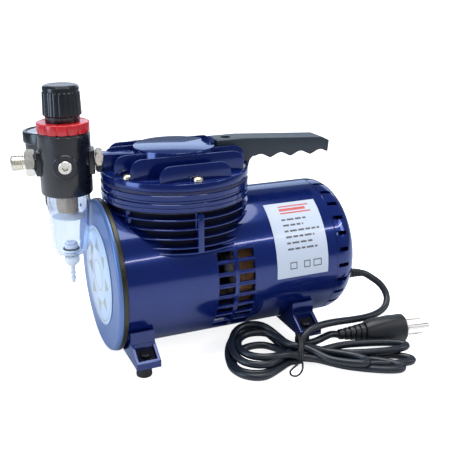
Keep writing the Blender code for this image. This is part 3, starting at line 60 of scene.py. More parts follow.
# Camera, at the height of someone looking down at a workbench, with a soft box overhead, a wide
# panel behind, a panel on each side, a thin window strip in front, and a white paper floor.
camera_data = bpy.data.cameras.new("bench_view")
camera_data.lens = 59.89
camera = bpy.data.objects.new("bench_view", camera_data)
camera.location = at(-137.4, -577.1, 310.0)
camera.rotation_euler = (math.radians(90 - 18.688), 0, math.radians(-22.971))
bpy.context.scene.collection.objects.link(camera)
bpy.context.scene.camera = camera


def panel_light(name, place, target, width, height, power, colour=(1, 1, 1)):
    light = bpy.data.lights.new(name, "AREA")
    light.shape = "RECTANGLE"
    light.size = width
    light.size_y = height
    light.energy = power
    light.color = colour
    lamp = bpy.data.objects.new(name, light)
    lamp.location = place
    lamp.rotation_euler = (Vector(target) - Vector(place)).to_track_quat("-Z", "Y").to_euler()
    lamp.visible_camera = False
    bpy.context.scene.collection.objects.link(lamp)


panel_light("overhead_box", (0.0, 0.05, 1.0), (0, 0, 0.1), 0.9, 0.8, 11)
panel_light("back_panel", (0.75, 1.5, 0.70), (0, 0, 0.15), 2.2, 0.6, 5.5, (0.72, 0.82, 1.0))
panel_light("window_strip", (0.46, -0.95, 0.80), (0, 0, 0.07), 1.9, 0.045, 4, (1.0, 0.90, 0.86))
panel_light("left_panel", (-1.25, -0.15, 0.45), (0, 0, 0.12), 0.5, 0.9, 8, (0.62, 0.78, 1.0))
panel_light("right_panel", (1.1, -0.75, 0.75), (0, 0, 0.1), 0.4, 0.5, 3, (0.85, 0.92, 1.0))

bpy.context.scene.view_settings.view_transform = "Standard"
world = bpy.data.worlds.new("white_studio")
world.use_nodes = True
bpy.context.scene.world = world
room = world.node_tree.nodes["Background"]
room.inputs["Color"].default_value = (0.72, 0.84, 1.0, 1)
room.inputs["Strength"].default_value = 0.22
backdrop = world.node_tree.nodes.new("ShaderNodeBackground")
backdrop.inputs["Color"].default_value = (1, 1, 1, 1)
backdrop.inputs["Strength"].default_value = 1.2
rays = world.node_tree.nodes.new("ShaderNodeLightPath")
choose = world.node_tree.nodes.new("ShaderNodeMixShader")
world.node_tree.links.new(rays.outputs["Is Camera Ray"], choose.inputs["Fac"])
world.node_tree.links.new(room.outputs["Background"], choose.inputs[1])
world.node_tree.links.new(backdrop.outputs["Background"], choose.inputs[2])
world.node_tree.links.new(choose.outputs["Shader"], world.node_tree.nodes["World Output"].inputs["Surface"])


def shader_of(material):
    return material.node_tree.nodes["Principled BSDF"]


def surface(name, colour, roughness, metallic=0.0, coat=0.0, shades=None, gloss=None, bumps=None):
    """A Principled material, with drifting shades, uneven gloss and fine bumps where they are given."""
    made = bpy.data.materials.new(name)
    made.use_nodes = True
    shader = shader_of(made)
    shader.inputs["Base Color"].default_value = (*colour, 1)
    shader.inputs["Roughness"].default_value = roughness
    shader.inputs["Metallic"].default_value = metallic
    shader.inputs["Coat Weight"].default_value = coat
    shader.inputs["Coat Roughness"].default_value = 0.04
    if shades:
        mottle(made, *shades)
    if gloss:
        uneven_gloss(made, *gloss)
    if bumps:
        grain(made, *bumps)
    return made


def add_node(material, kind, **values):
    made = material.node_tree.nodes.new(kind)
    for name, value in values.items():
        if name in made.inputs:
            made.inputs[name].default_value = value
        else:
            setattr(made, name, value)
    return made


def join_nodes(material, source, target):
    material.node_tree.links.new(source, target)


def place_texture(material, texture):
    """The texture reads the piece's own coordinates."""
    coordinates = add_node(material, "ShaderNodeTexCoord")
    join_nodes(material, coordinates.outputs["Object"], texture.inputs["Vector"])
    return texture


def mottle(material, first, second, scale, detail=3.0):
    """Colour that drifts between two shades."""
    noise = place_texture(material, add_node(material, "ShaderNodeTexNoise", Scale=scale, Detail=detail))
    blend = add_node(material, "ShaderNodeMix", data_type="RGBA")
    blend.inputs["A"].default_value = (*first, 1)
    blend.inputs["B"].default_value = (*second, 1)
    join_nodes(material, noise.outputs["Fac"], blend.inputs["Factor"])
    join_nodes(material, blend.outputs["Result"], shader_of(material).inputs["Base Color"])


def uneven_gloss(material, low, high, scale):
    """Roughness that drifts between two values."""
    noise = place_texture(material, add_node(material, "ShaderNodeTexNoise", Scale=scale, Detail=4.0))
    spread = add_node(material, "ShaderNodeMapRange")
    spread.inputs["To Min"].default_value = low
    spread.inputs["To Max"].default_value = high
    join_nodes(material, noise.outputs["Fac"], spread.inputs["Value"])
    join_nodes(material, spread.outputs["Result"], shader_of(material).inputs["Roughness"])


def grain(material, scale, strength, depth, kind="ShaderNodeTexNoise"):
    """Fine bumps."""
    texture = place_texture(material, add_node(material, kind, Scale=scale))
    bump = add_node(material, "ShaderNodeBump")
    bump.inputs["Strength"].default_value = strength
    bump.inputs["Distance"].default_value = depth
    height = texture.outputs["Distance"] if kind == "ShaderNodeTexVoronoi" else texture.outputs["Fac"]
    join_nodes(material, height, bump.inputs["Height"])
    join_nodes(material, bump.outputs["Normal"], shader_of(material).inputs["Normal"])


floor_paper = surface("floor_paper", (0.93, 0.93, 0.94), 0.9, bumps=(900, 0.1, 0.0002))
bpy.ops.object.select_all(action="DESELECT")
bpy.ops.mesh.primitive_plane_add(size=8, location=(0, 0, -0.0004))
studio_floor = bpy.context.object
studio_floor.name = "studio_floor"
studio_floor.data.materials.append(floor_paper)
shader_of(floor_paper).inputs["Emission Color"].default_value = (1, 1, 1, 1)
seen = add_node(floor_paper, "ShaderNodeLightPath")
glow = add_node(floor_paper, "ShaderNodeMath", operation="MULTIPLY")
glow.inputs[1].default_value = 0.85
join_nodes(floor_paper, seen.outputs["Is Camera Ray"], glow.inputs[0])
join_nodes(floor_paper, glow.outputs["Value"], shader_of(floor_paper).inputs["Emission Strength"])


# Mains lead: a round three-core cord, black and springy. It leaves the bell through a sleeve,
# swings round in the air in front of the rear foot, and is folded into a hank with a twist tie.
CORD_RADIUS = 3.1
RELIEF_EXIT = Vector((210.7, -35.5, 48.4))
RELIEF_LENGTH = 17
RELIEF_TIP = RELIEF_EXIT + Vector((RELIEF_LENGTH, -1, -1.6))
FREE_ROUTE = [RELIEF_TIP + Vector((0.6, 0, 0)), RELIEF_TIP + Vector((3.6, -0.1, -0.2))]
FREE_ROUTE += [Vector(place) for place in (
    (236.5, -39.4, 42.6), (243.5, -46.0, 37.0), (245.5, -55.0, 28.0), (238.5, -62.5, 21.5),
    (227.0, -67.0, 19.2), (214.0, -70.0, 19.4), (199.0, -73.5, 21.5), (180.0, -77.5, 24.8),
    (162.0, -80.5, 26.4), (149.0, -82.8, 24.8), (140.5, -86.0, 19.6),
)]
TIE = Vector((138.5, -86.5, 0))
HANK_TURN = math.radians(-23)
PLUG_FRONT = Vector((241, -89.5, 13))
PLUG_TURN = math.radians(-10)
PLUG_RELIEF = 26
PLUG_LENGTH = 36
plug_axis = Vector((math.cos(PLUG_TURN), math.sin(PLUG_TURN), 0))
PLUG_TAIL = PLUG_FRONT - plug_axis * (PLUG_LENGTH + PLUG_RELIEF)

# Each turn of the hank: how far its round loop and its long loop reach from the tie, how wide
# they are, where the long loop's middle lies, and the heights of the near and far runs.
TURN_SIZES = ("round", "width", "lie", "long", "spread", "lean", "low", "lift", "rise")
TURNS = [dict(zip(TURN_SIZES, sizes)) for sizes in (
    (60.0, 38.0, 0.0, 95.5, 10.0, -3.0, 3.3, 12.0, 3.3),
    (56.0, 25.0, -9.0, 93.0, 9.5, 11.0, 3.6, 6.0, 9.2),
    (57.0, 31.0, 4.0, 84.0, 10.0, -17.5, 9.6, 12.5, 4.0),
    (52.0, 23.0, 3.0, 55.0, 8.5, -18.0, 13.2, 4.0, 9.6),
)]
NECK_SLOTS = [(-6.4, 3.3), (6.4, 3.3), (0, 3.3), (-3.3, 8.9), (3.4, 8.9), (9.0, 8.6), (-9.0, 8.8),
              (-0.2, 14.4)]


def hank_point(along, across, height):
    """A point of the hank, measured from the tie along the hank and across it."""
    c, s = math.cos(HANK_TURN), math.sin(HANK_TURN)
    return TIE + Vector((along * c - across * s, along * s + across * c, height))


def loop_points(start, end, reach, width, lean, height, lift, count):
    """A teardrop loop that leaves the tie at one place in the neck and comes back at another."""
    points = []
    for step in range(1, count):
        turn = 2 * math.pi * step / count
        out = (1 - math.cos(turn)) / 2
        bulge = math.sin(turn) * math.sin(turn / 2) ** 0.6
        near = max(0.0, 1 - out / 0.4)
        neck = start if turn < math.pi else end
        across = width * bulge * (1 if reach > 0 else -1) + lean * out
        level = height + lift * max(0.0, 0.35 * out + 0.65 * across / 30)
        points.append(hank_point(reach * out, across * (1 - near) + (neck[0] + width * bulge * 0.3) * near,
                                 level * (1 - near) + neck[1] * near))
    return points


hank_route = []
slots = iter(NECK_SLOTS)
arriving = next(slots)
for turn in TURNS:
    between = next(slots)
    hank_route.append(hank_point(0, *arriving))
    hank_route += loop_points(arriving, between, -turn["round"], turn["width"], turn["lie"], turn["low"],
                              turn["lift"], 16)
    hank_route.append(hank_point(0, *between))
    arriving = next(slots, (0, 14.4))
    hank_route += loop_points(between, arriving, turn["long"], turn["spread"], turn["lean"], turn["rise"],
                              0, 14)
plug_lead = [hank_point(0, 3.0, 13.8), hank_point(13, 8.0, 14.0),
             PLUG_TAIL - plug_axis * 6 + Vector((0, 0.4, 1.2)), PLUG_TAIL + plug_axis * 0.5]


def smooth_line(points, spacing):
    """Evenly spaced points on a smooth curve through the route."""
    ends = [2 * points[0] - points[1]] + points + [2 * points[-1] - points[-2]]
    fine = []
    for index in range(1, len(ends) - 2):
        before, start, end, after = ends[index - 1:index + 3]
        for step in range(16):
            t = step / 16
            fine.append(0.5 * ((2 * start) + (end - before) * t
                               + (2 * before - 5 * start + 4 * end - after) * t * t
                               + (3 * start - before - 3 * end + after) * t ** 3))
    fine.append(points[-1])
    chosen = [fine[0]]
    travelled = 0.0
    for first, second in zip(fine, fine[1:]):
        travelled += (second - first).length
        if travelled >= spacing:
            chosen.append(second)
            travelled = 0.0
    chosen[-1] = fine[-1]
    return chosen


cord_line = smooth_line(FREE_ROUTE + hank_route + plug_lead, 2.5)
for _ in range(3):
    cord_line = ([cord_line[0]] + [(a + 2 * b + c) / 4 for a, b, c in zip(cord_line, cord_line[1:],
            cord_line[2:])] + [cord_line[-1]])
for point in cord_line:
    point.z = max(point.z, CORD_RADIUS + 0.1)

cord_sheath = surface("cord_sheath", (0.006, 0.010, 0.017), 0.3,
        shades=((0.005, 0.008, 0.014), (0.010, 0.016, 0.026), 60), gloss=(0.26, 0.42, 180),
        bumps=(1400, 0.25, 0.0002))


def round_line(name, line, radius, sides, material):
    """A curve of round section along a line of points, in millimetres."""
    curve = bpy.data.curves.new(name, "CURVE")
    curve.dimensions = "3D"
    curve.bevel_depth = radius * MM
    curve.bevel_resolution = sides
    curve.use_fill_caps = True
    spline = curve.splines.new("POLY")
    spline.points.add(len(line) - 1)
    for target, point in zip(spline.points, line):
        target.co = (*at(*point), 1)
    curve.materials.append(material)
    made = bpy.data.objects.new(name, curve)
    bpy.context.scene.collection.objects.link(made)
    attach(made, "compressor")
    return made


mains_lead = round_line("mains_lead", cord_line, CORD_RADIUS, 4, cord_sheath)
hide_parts("power_cord", "cord_hank")


def deselect():
    if bpy.context.mode != "OBJECT":
        bpy.ops.object.mode_set(mode="OBJECT")
    bpy.ops.object.select_all(action="DESELECT")


def edit_all(obj):
    """Edit mode on this piece with all of it selected."""
    deselect()
    obj.select_set(True)
    bpy.context.view_layer.objects.active = obj
    bpy.ops.object.mode_set(mode="EDIT")
    bpy.ops.mesh.select_all(action="SELECT")


def tidy_mesh(obj):
    """Doubles merged, loose bits gone and faces turned outwards."""
    edit_all(obj)
    bpy.ops.mesh.remove_doubles(threshold=1e-6)
    bpy.ops.mesh.delete_loose()
    bpy.ops.mesh.select_all(action="SELECT")
    bpy.ops.mesh.normals_make_consistent(inside=False)
    bpy.ops.object.mode_set(mode="OBJECT")


def outline_ring(name, places, filled):
    """A circle primitive whose points are moved onto an outline."""
    deselect()
    bpy.ops.mesh.primitive_circle_add(vertices=len(places), radius=0.01,
            fill_type="NGON" if filled else "NOTHING")
    ring = bpy.context.object
    ring.name = name
    for vertex, place in zip(ring.data.vertices, places):
        vertex.co = place
    return ring


def turned(name, outline, base, steps=96, axis=UP):
    """A piece spun on a lathe: (radius, height) points, in millimetres, turned about the axis."""
    axis = axis.normalized()
    side = axis.orthogonal().normalized()
    centre = at(*base)
    ring = outline_ring(name, [centre + (side * r + axis * h) * MM for r, h in outline], False)
    edit_all(ring)
    bpy.ops.mesh.spin(steps=steps, angle=2 * math.pi, center=centre, axis=axis)
    tidy_mesh(ring)
    return ring


def rod(name, radius, low, high, base, steps=28, axis=UP):
    """A plain round bar along the axis."""
    return turned(name, [(0, low), (radius, low), (radius, high), (0, high)], base, steps, axis)


def plate(name, outline, thickness, base, across, up):
    """A flat outline, in millimetres, pushed out into a plate. The first direction is the
    outline's first axis and the second its other one; the plate grows along their product."""
    across = Vector(across).normalized()
    up = Vector(up).normalized()
    outward = across.cross(up)
    centre = at(*base)
    made = outline_ring(name, [centre + (across * a + up * b) * MM for a, b in outline], True)
    edit_all(made)
    bpy.ops.mesh.extrude_region_move(TRANSFORM_OT_translate={"value": outward * thickness * MM})
    tidy_mesh(made)
    return made


def apply_step(obj, modifier):
    deselect()
    obj.select_set(True)
    bpy.context.view_layer.objects.active = obj
    bpy.ops.object.modifier_apply(modifier=modifier.name)


def round_edges(obj, width, segments=3, angle=35):
    bevel = obj.modifiers.new("round_edges", "BEVEL")
    bevel.width = width * MM
    bevel.segments = segments
    bevel.limit_method = "ANGLE"
    bevel.angle_limit = math.radians(angle)
    apply_step(obj, bevel)


def merge_piece(obj, other, operation="UNION"):
    """Boolean with another piece, which is used up."""
    step = obj.modifiers.new("merge", "BOOLEAN")
    step.operation = operation
    step.solver = "EXACT"
    step.object = other
    apply_step(obj, step)
    bpy.data.objects.remove(other)


def drill(obj, radius, low, high, base, steps=28, axis=UP):
    """A round hole along the axis."""
    merge_piece(obj, rod("drill", radius, low, high, base, steps, axis), "DIFFERENCE")


def copy_piece(obj, name, move=(0, 0, 0), turn=0.0, axis=UP, centre=(0, 0, 0)):
    """A copy with its own mesh, turned about an axis through a centre and then moved."""
    made = obj.copy()
    made.data = obj.data.copy()
    made.name = name
    bpy.context.scene.collection.objects.link(made)
    middle = Matrix.Translation(at(*centre))
    spin = middle @ Matrix.Rotation(turn, 4, axis) @ middle.inverted()
    made.data.transform(Matrix.Translation(Vector(move) * MM) @ spin)
    return made


def join_pieces(pieces, name):
    deselect()
    for piece in pieces:
        piece.select_set(True)
    bpy.context.view_layer.objects.active = pieces[0]
    bpy.ops.object.join()
    joined = bpy.context.object
    joined.name = name
    return joined


def finish_piece(obj, material, node=None, body="compressor", angle=32):
    """Smooth shading with crisp edges, a material, and the piece's place in the assembly."""
    obj.data.materials.clear()
    obj.data.materials.append(material)
    deselect()
    obj.select_set(True)
    bpy.context.view_layer.objects.active = obj
    bpy.ops.object.shade_smooth_by_angle(angle=math.radians(angle))
    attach(obj, body)
    if node:
        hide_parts(node)
    return obj


def dress_node(name, material):
    """A finish on a piece that is shown as it comes."""
    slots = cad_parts[name].data.materials
    slots.clear()
    slots.append(material)


def arc(centre, radius, start, end, count):
    """Points along an arc, both ends included, angles in degrees."""
    made = []
    for step in range(count):
        angle = math.radians(start + (end - start) * step / (count - 1))
        made.append((centre[0] + radius * math.cos(angle), centre[1] + radius * math.sin(angle)))
    return made


def box_outline(width, height, centre=(0, 0)):
    a, b = centre
    return [(a - width / 2, b - height / 2), (a + width / 2, b - height / 2),
            (a + width / 2, b + height / 2), (a - width / 2, b + height / 2)]


# Sleeve and plug: soft black vinyl moulded onto the lead. The sleeve is slim and tapered, and
# the plug has a ribbed tail, a rounded body with two flats and three plated pins.
vinyl = surface("moulded_vinyl", (0.007, 0.009, 0.012), 0.36,
                shades=((0.006, 0.008, 0.011), (0.013, 0.016, 0.020), 90), gloss=(0.3, 0.5, 220),
                bumps=(1100, 0.3, 0.0002))
relief_outline = [(0, -7), (5.6, -7), (5.6, -4), (4.3, -4), (4.3, 0.6), (5.2, 0.8), (5.4, 1.6), (5.0, 2.4)]
for rib in range(4):
    near, far = 4.0 + 3.2 * rib, 5.6 + 3.2 * rib
    body_radius = 4.6 - 0.26 * rib
    relief_outline += [(body_radius - 0.45, near - 0.5), (body_radius, near), (body_radius - 0.1, far),
                       (body_radius - 0.55, far + 0.5)]
relief_outline += [(3.55, RELIEF_LENGTH - 0.4), (3.3, RELIEF_LENGTH), (0, RELIEF_LENGTH)]
sleeve = turned("cord_sleeve", relief_outline, RELIEF_EXIT, 32, ALONG)
tip_drop = RELIEF_TIP - RELIEF_EXIT
for vertex in sleeve.data.vertices:
    along = max(vertex.co.x - at(*RELIEF_EXIT).x - MM, 0) / (RELIEF_LENGTH * MM)
    vertex.co.y += along * along * tip_drop.y * MM
    vertex.co.z += along * along * tip_drop.z * MM
finish_piece(sleeve, vinyl, "strain_relief", angle=50)

PLUG_ROLL = math.radians(25)
plug_side = Vector((0, math.sin(PLUG_ROLL), math.cos(PLUG_ROLL)))
plug_up = plug_axis.cross(plug_side).normalized()
plug_outline = [(0, -PLUG_LENGTH - PLUG_RELIEF), (3.5, -PLUG_LENGTH - PLUG_RELIEF),
                (4.3, -PLUG_LENGTH - PLUG_RELIEF + 0.6)]
for rib in range(5):
    start = -PLUG_LENGTH - PLUG_RELIEF + 1.4 + 4.6 * rib
    radius = 4.4 + 0.75 * rib
    plug_outline += [(radius, start), (radius + 0.35, start + 2.7), (radius - 1.1, start + 3.1),
            (radius - 1.0, start + 4.3)]
plug_outline += [(8.6, -PLUG_LENGTH - 1.5), (10.3, -PLUG_LENGTH + 2.5), (11.2, -25), (12.2, -17),
        (12.4, -4), (12.2, -2.4), (11.4, -1.6), (0, -1.6)]
plug_piece = turned("plug_moulding", plug_outline, PLUG_FRONT, 64, plug_axis)
for vertex in plug_piece.data.vertices:
    offset = vertex.co - at(*PLUG_FRONT)
    side = offset.dot(plug_up)
    limit = 9.4 * MM
    if abs(side) > limit:
        vertex.co -= plug_up * (side - math.copysign(limit + (abs(side) - limit) * 0.45, side))
finish_piece(plug_piece, vinyl, "plug_body", angle=40)

plated_brass = surface("plated_pin", (0.82, 0.80, 0.74), 0.34, 1.0, gloss=(0.28, 0.44, 300),
        bumps=(2200, 0.12, 0.0001))
pin_parts = [turned("plug_pins_plated",
        [(0, -1.3), (9.4, -1.3), (9.8, -0.9), (9.8, -0.2), (9.4, 0), (0, 0)], PLUG_FRONT, 48, plug_axis)]
for offset in (-6.35, 6.35):
    root = PLUG_FRONT + plug_side * offset - plug_up * 2.5
    blade = plate("blade", [(-3.15, -1), (3.15, -1), (3.15, 15.2), (2.2, 17), (-2.2, 17), (-3.15, 15.2)],
                  1.6, root - plug_side * 0.8, plug_up, plug_axis)
    round_edges(blade, 0.25, 2)
    drill(blade, 1.6, -4, 4, root + plug_axis * 12.5, 20, plug_side)
    pin_parts.append(blade)
pin_parts.append(turned("ground_pin", [(0, -1), (2.4, -1), (2.4, 18.6), (2.1, 20), (1.2, 20.9), (0, 21)],
        PLUG_FRONT + plug_up * 6, 28, plug_axis))
plug_pins = finish_piece(join_pieces(pin_parts, "plug_pins_plated"), plated_brass, "plug_pins")

# Twist tie: a paper-covered wire, wound twice round the neck of the hank and twisted shut.
tie_wire = surface("twist_tie_paper", (0.012, 0.012, 0.013), 0.5,
        shades=((0.010, 0.010, 0.011), (0.03, 0.03, 0.032), 400), bumps=(1600, 0.4, 0.0002))
tie_route = []
for step in range(49):
    turn = 2 * math.pi * 2 * step / 48 - math.pi / 2
    tie_route.append(hank_point(-1.8 + 3.2 * step / 48, 13.6 * math.cos(turn),
            11.6 + 10.6 * math.sin(turn)))
tie_route += [hank_point(1.2, -13.5, 5.0), hank_point(0.6, -19.0, 3.0), hank_point(-2.0, -24.5, 2.0),
              hank_point(-5.6, -27.5, 1.6), hank_point(-9.0, -25.5, 1.6), hank_point(-9.5, -20.5, 1.8),
              hank_point(-6.5, -16.5, 3.0), hank_point(-3.0, -14.4, 5.0)]
TIE_RADIUS = 0.85
tie_line = smooth_line(tie_route, 1.2)
for point in tie_line:
    point.z = max(point.z, TIE_RADIUS + 0.1)
twist_tie = round_line("twist_tie", tie_line, TIE_RADIUS, 3, tie_wire)


# Motor housing: a rolled steel tube in deep blue gloss paint, with two grilles of pressed
# louvres. Copper shows through them.
HOUSING_RADIUS = 61
HOUSING_BORE = 58.5
HOUSING_END = 187
SHAFT = (0, 0, SHAFT_Z)
LOUVRE_ROWS = 8
LOUVRE_PITCH = 9.6
LOUVRE_START = 67.5
LOUVRE_COLUMNS = (83.8, 101.8)
LOUVRE_LENGTH = 14.5
LOUVRE_WIDTH = 6.8


def gloss_paint(name, deep, bright):
    made = surface(name, deep, 0.2, metallic=0.35, coat=0.7, shades=(deep, bright, 40, 2.0),
                   gloss=(0.14, 0.24, 120), bumps=(700, 0.05, 0.0002))
    shader_of(made).inputs["Coat Tint"].default_value = (0.62, 0.80, 1.0, 1)
    shader_of(made).inputs["Specular Tint"].default_value = (0.62, 0.80, 1.0, 1)
    return made


blue_gloss = gloss_paint("blue_gloss_paint", (0.005, 0.016, 0.13), (0.007, 0.021, 0.17))
cast_gloss = gloss_paint("blue_gloss_casting", (0.004, 0.013, 0.105), (0.006, 0.018, 0.14))
grain(cast_gloss, 260, 0.10, 0.0003)

housing = turned("motor_shell", [(HOUSING_BORE, 0.3), (HOUSING_RADIUS, 0.3), (HOUSING_RADIUS, HOUSING_END),
        (HOUSING_BORE, HOUSING_END)], SHAFT, 160, ALONG)


def wall_direction(angle):
    """Straight out of the housing's wall, at an angle from the top towards the near side."""
    turn = math.radians(angle)
    return Vector((0, -math.sin(turn), math.cos(turn)))


def wall_along(angle):
    """Down the housing's wall, away from the top."""
    turn = math.radians(angle)
    return Vector((0, -math.cos(turn), -math.sin(turn)))


def wall_hole(name, outline, depth, x, inner, angle):
    """A cutter that runs out through the wall at this angle."""
    return plate(name, outline, depth, Vector((x, 0, SHAFT_Z)) + wall_direction(angle) * inner, ALONG,
                 -wall_along(angle))


cutters = []
lips = []
for side in (1, -1):
    for row in range(LOUVRE_ROWS):
        angle = side * (LOUVRE_START + row * LOUVRE_PITCH)
        for column in LOUVRE_COLUMNS:
            cutters.append(wall_hole("louvre_hole", box_outline(LOUVRE_LENGTH, LOUVRE_WIDTH), 12, column,
                    54, angle))
    for row in range(LOUVRE_ROWS + 1):
        angle = side * (LOUVRE_START + (row - 0.5) * LOUVRE_PITCH)
        out = wall_direction(angle)
        for column in LOUVRE_COLUMNS:
            start = Vector((column - LOUVRE_LENGTH / 2 - 0.6, 0, SHAFT_Z)) + out * 60.6
            lip = turned("lip", [(0, 0), (0.7, 0.2), (1.05, 0.9), (1.05, LOUVRE_LENGTH + 0.3),
                    (0.7, LOUVRE_LENGTH + 1.0), (0, LOUVRE_LENGTH + 1.2)], start, 10, ALONG)
            lips.append(lip)
merge_piece(housing, join_pieces(cutters, "louvre_holes"), "DIFFERENCE")
drill(housing, 30, 20, 90, (61.2, 0, SHAFT_Z), 64)
finish_piece(housing, blue_gloss, "motor_housing")
finish_piece(join_pieces(lips, "louvre_lips"), blue_gloss)

# Front cap: a dark anodised clamping ring, a cast cover in a paler satin blue, and a round foil
# badge with a plain ring of triangles.
olive_ring = surface("anodised_ring", (0.045, 0.045, 0.03), 0.3, metallic=0.75,
        shades=((0.035, 0.035, 0.022), (0.07, 0.068, 0.05), 30), gloss=(0.2, 0.4, 150))
ring = turned("clamping_ring", [(54, -3.9), (64.2, -3.9), (64.6, -3.4), (64.6, -0.5), (64.2, 0), (54, 0)],
              SHAFT, 160, ALONG)
finish_piece(ring, olive_ring, "cap_ring")
cover_outline = [(0, -7.4), (59.8, -7.4)] + arc((61.2, -4.4), 3.0, -100, -12, 8)
cover_outline += [(64.4, -4.2), (17, -4.2), (16.8, 12.8), (13.4, 12.8), (13.3, -2.2), (0, -2.2)]
cover = turned("cast_cover", cover_outline, SHAFT, 160, ALONG)
cover_satin = surface("cover_satin_blue", (0.10, 0.19, 0.42), 0.36, metallic=0.45,
        shades=((0.09, 0.17, 0.39), (0.12, 0.21, 0.45), 30), gloss=(0.30, 0.44, 120),
        bumps=(700, 0.12, 0.0002))
finish_piece(cover, cover_satin, "front_cover")
badge_foil = surface("badge_foil", (0.52, 0.68, 0.88), 0.35, coat=0.3,
        shades=((0.48, 0.64, 0.86), (0.58, 0.72, 0.90), 25))
badge = turned("foil_badge", [(0, -8.2), (41.6, -8.2), (42, -8.0), (42, -7.7), (0, -7.7)], SHAFT, 96, ALONG)
finish_piece(badge, badge_foil, "cover_badge")
badge_ink = surface("badge_ink", (0.36, 0.42, 0.44), 0.45,
        shades=((0.33, 0.38, 0.42), (0.50, 0.50, 0.36), 60))
marks = []
for number in range(8):
    turn = math.radians(45 * number)
    centre = Vector((-8.2, 27 * math.cos(turn), SHAFT_Z + 27 * math.sin(turn)))
    mark = plate("mark", [(-6.5, -4.4), (6.5, -4.4), (0, 6.8)], 0.06, centre,
                 (0, -math.sin(turn), math.cos(turn)), (0, math.cos(turn), math.sin(turn)))
    marks.append(mark)
inner = turned("mark_ring", [(12.4, -8.26), (13.6, -8.26), (13.6, -8.18), (12.4, -8.18)], SHAFT, 64, ALONG)
outer = turned("mark_rim", [(38.4, -8.26), (39.2, -8.26), (39.2, -8.18), (38.4, -8.18)], SHAFT, 96, ALONG)
finish_piece(join_pieces(marks + [inner, outer], "badge_marks"), badge_ink)

# Rear bell: a pressed end cap with a ring of vents round its shoulder and four dome screws.
BELL_START = HOUSING_END + 0.3
BELL_BACK = 210.7
BELL_CORNER = 18.5
BELL_SLOTS = 27
bell_outline = [(HOUSING_BORE, BELL_START), (60.6, BELL_START), (HOUSING_RADIUS, BELL_START + 0.5)]
bell_outline += arc((HOUSING_RADIUS - BELL_CORNER, BELL_BACK - BELL_CORNER), BELL_CORNER, 0, 90, 16)
bell_outline += [(0, BELL_BACK), (0, BELL_BACK - 2.5), (13.3, BELL_BACK - 2.5), (13.3, BELL_BACK - 12),
                 (16.3, BELL_BACK - 12), (16.3, BELL_BACK - 2.5)]
bell_outline += arc((HOUSING_RADIUS - BELL_CORNER, BELL_BACK - BELL_CORNER), BELL_CORNER - 2.5, 90, 0, 12)
bell = turned("end_bell", bell_outline, SHAFT, 160, ALONG)
vents = []
for number in range(BELL_SLOTS):
    vents.append(wall_hole("vent", box_outline(10.5, 3.6), 14, BELL_START + 6.5, 52,
            10 + 360 * number / BELL_SLOTS))
merge_piece(bell, join_pieces(vents, "vents"), "DIFFERENCE")
drill(bell, 4.6, -6, 6, RELIEF_EXIT, 32, ALONG)
finish_piece(bell, blue_gloss, "rear_bell")
liner = turned("air_guide", [(54.5, 188.2), (56.2, 188.2), (56.2, 193.5), (52.6, 199.4), (51.4, 199.0),
        (54.5, 193)], SHAFT, 96, ALONG)
finish_piece(liner, cast_gloss)
zinc = surface("zinc_plate", (0.62, 0.60, 0.54), 0.3, 1.0,
               shades=((0.58, 0.55, 0.46), (0.70, 0.67, 0.58), 120), gloss=(0.2, 0.42, 260))
bell_screws = []
for number in range(4):
    turn = math.radians(20 + 90 * number)
    place = (BELL_BACK, 40 * math.cos(turn), SHAFT_Z + 40 * math.sin(turn))
    bell_screws.append(turned("bell_screw",
            [(0, -1.5), (1.4, -1.5), (1.4, 0.1), (3.4, 0.1), (3.3, 1.0), (2.3, 2.1), (0.9, 2.5), (0, 2.5)],
            place, 24, ALONG))
finish_piece(join_pieces(bell_screws, "bell_screws"), zinc)

# Rating label: a printed film stuck round the near side. Its print is only plain bars.
label_film = surface("label_film", (0.60, 0.68, 0.80), 0.35, coat=0.2,
        shades=((0.57, 0.66, 0.79), (0.65, 0.72, 0.83), 30))
LABEL_X = 129
LABEL_WIDTH = 48.5


def wall_patch(name, x_low, x_high, angle_low, angle_high, radius, thickness):
    """A thin patch that follows the housing's wall."""
    count = max(4, int((angle_high - angle_low) / 2.0))
    outer = arc((0, 0), radius + thickness, 90 + angle_low, 90 + angle_high, count)
    inner = arc((0, 0), radius, 90 + angle_high, 90 + angle_low, count)
    return plate(name, outer + inner, x_high - x_low, (x_low, 0, SHAFT_Z), ACROSS, UP)


def printed(name, x_low, x_high, angle_low, angle_high):
    """A patch of ink on the label's film."""
    return wall_patch(name, x_low, x_high, angle_low, angle_high, 61.56, 0.05)


label = wall_patch("rating_film", LABEL_X, LABEL_X + LABEL_WIDTH, 30, 93, 61.25, 0.3)
finish_piece(label, label_film, "rating_label")
grey_ink = surface("label_ink_grey", (0.10, 0.11, 0.13), 0.5,
        shades=((0.08, 0.09, 0.11), (0.16, 0.17, 0.19), 500))
red_ink = surface("label_ink_red", (0.62, 0.10, 0.09), 0.45,
        shades=((0.58, 0.09, 0.08), (0.70, 0.16, 0.14), 300))
bars = []
for row, (angle, first, last) in enumerate([(45.5, 140, 163), (50.3, 140, 159), (55.1, 140, 173),
        (59.9, 140, 167), (64.7, 140, 164), (69.5, 140, 168)]):
    start = first
    word = 0
    while start < last:
        length = 3.6 + (row * 2 + word * 3) % 4
        end = min(start + length, last)
        bars.append(printed("bar", start, end, angle, angle + 1.5))
        start = end + 1.3
        word += 1
for first, last in ((141, 147.5), (154, 160), (163, 171)):
    for edge in ((first, last, 80.5, 81.3), (first, last, 85.5, 86.3), (first, first + 0.8, 80.5, 86.3),
                 (last - 0.8, last, 80.5, 86.3)):
        bars.append(printed("block", *edge))
finish_piece(join_pieces(bars, "label_print_grey"), grey_ink)
stripes = [printed("stripe", 141, 170, 33.4, 34.6), printed("stripe", 141, 166, 36.0, 38.4),
           printed("stripe", 141, 170, 39.8, 41.0)]
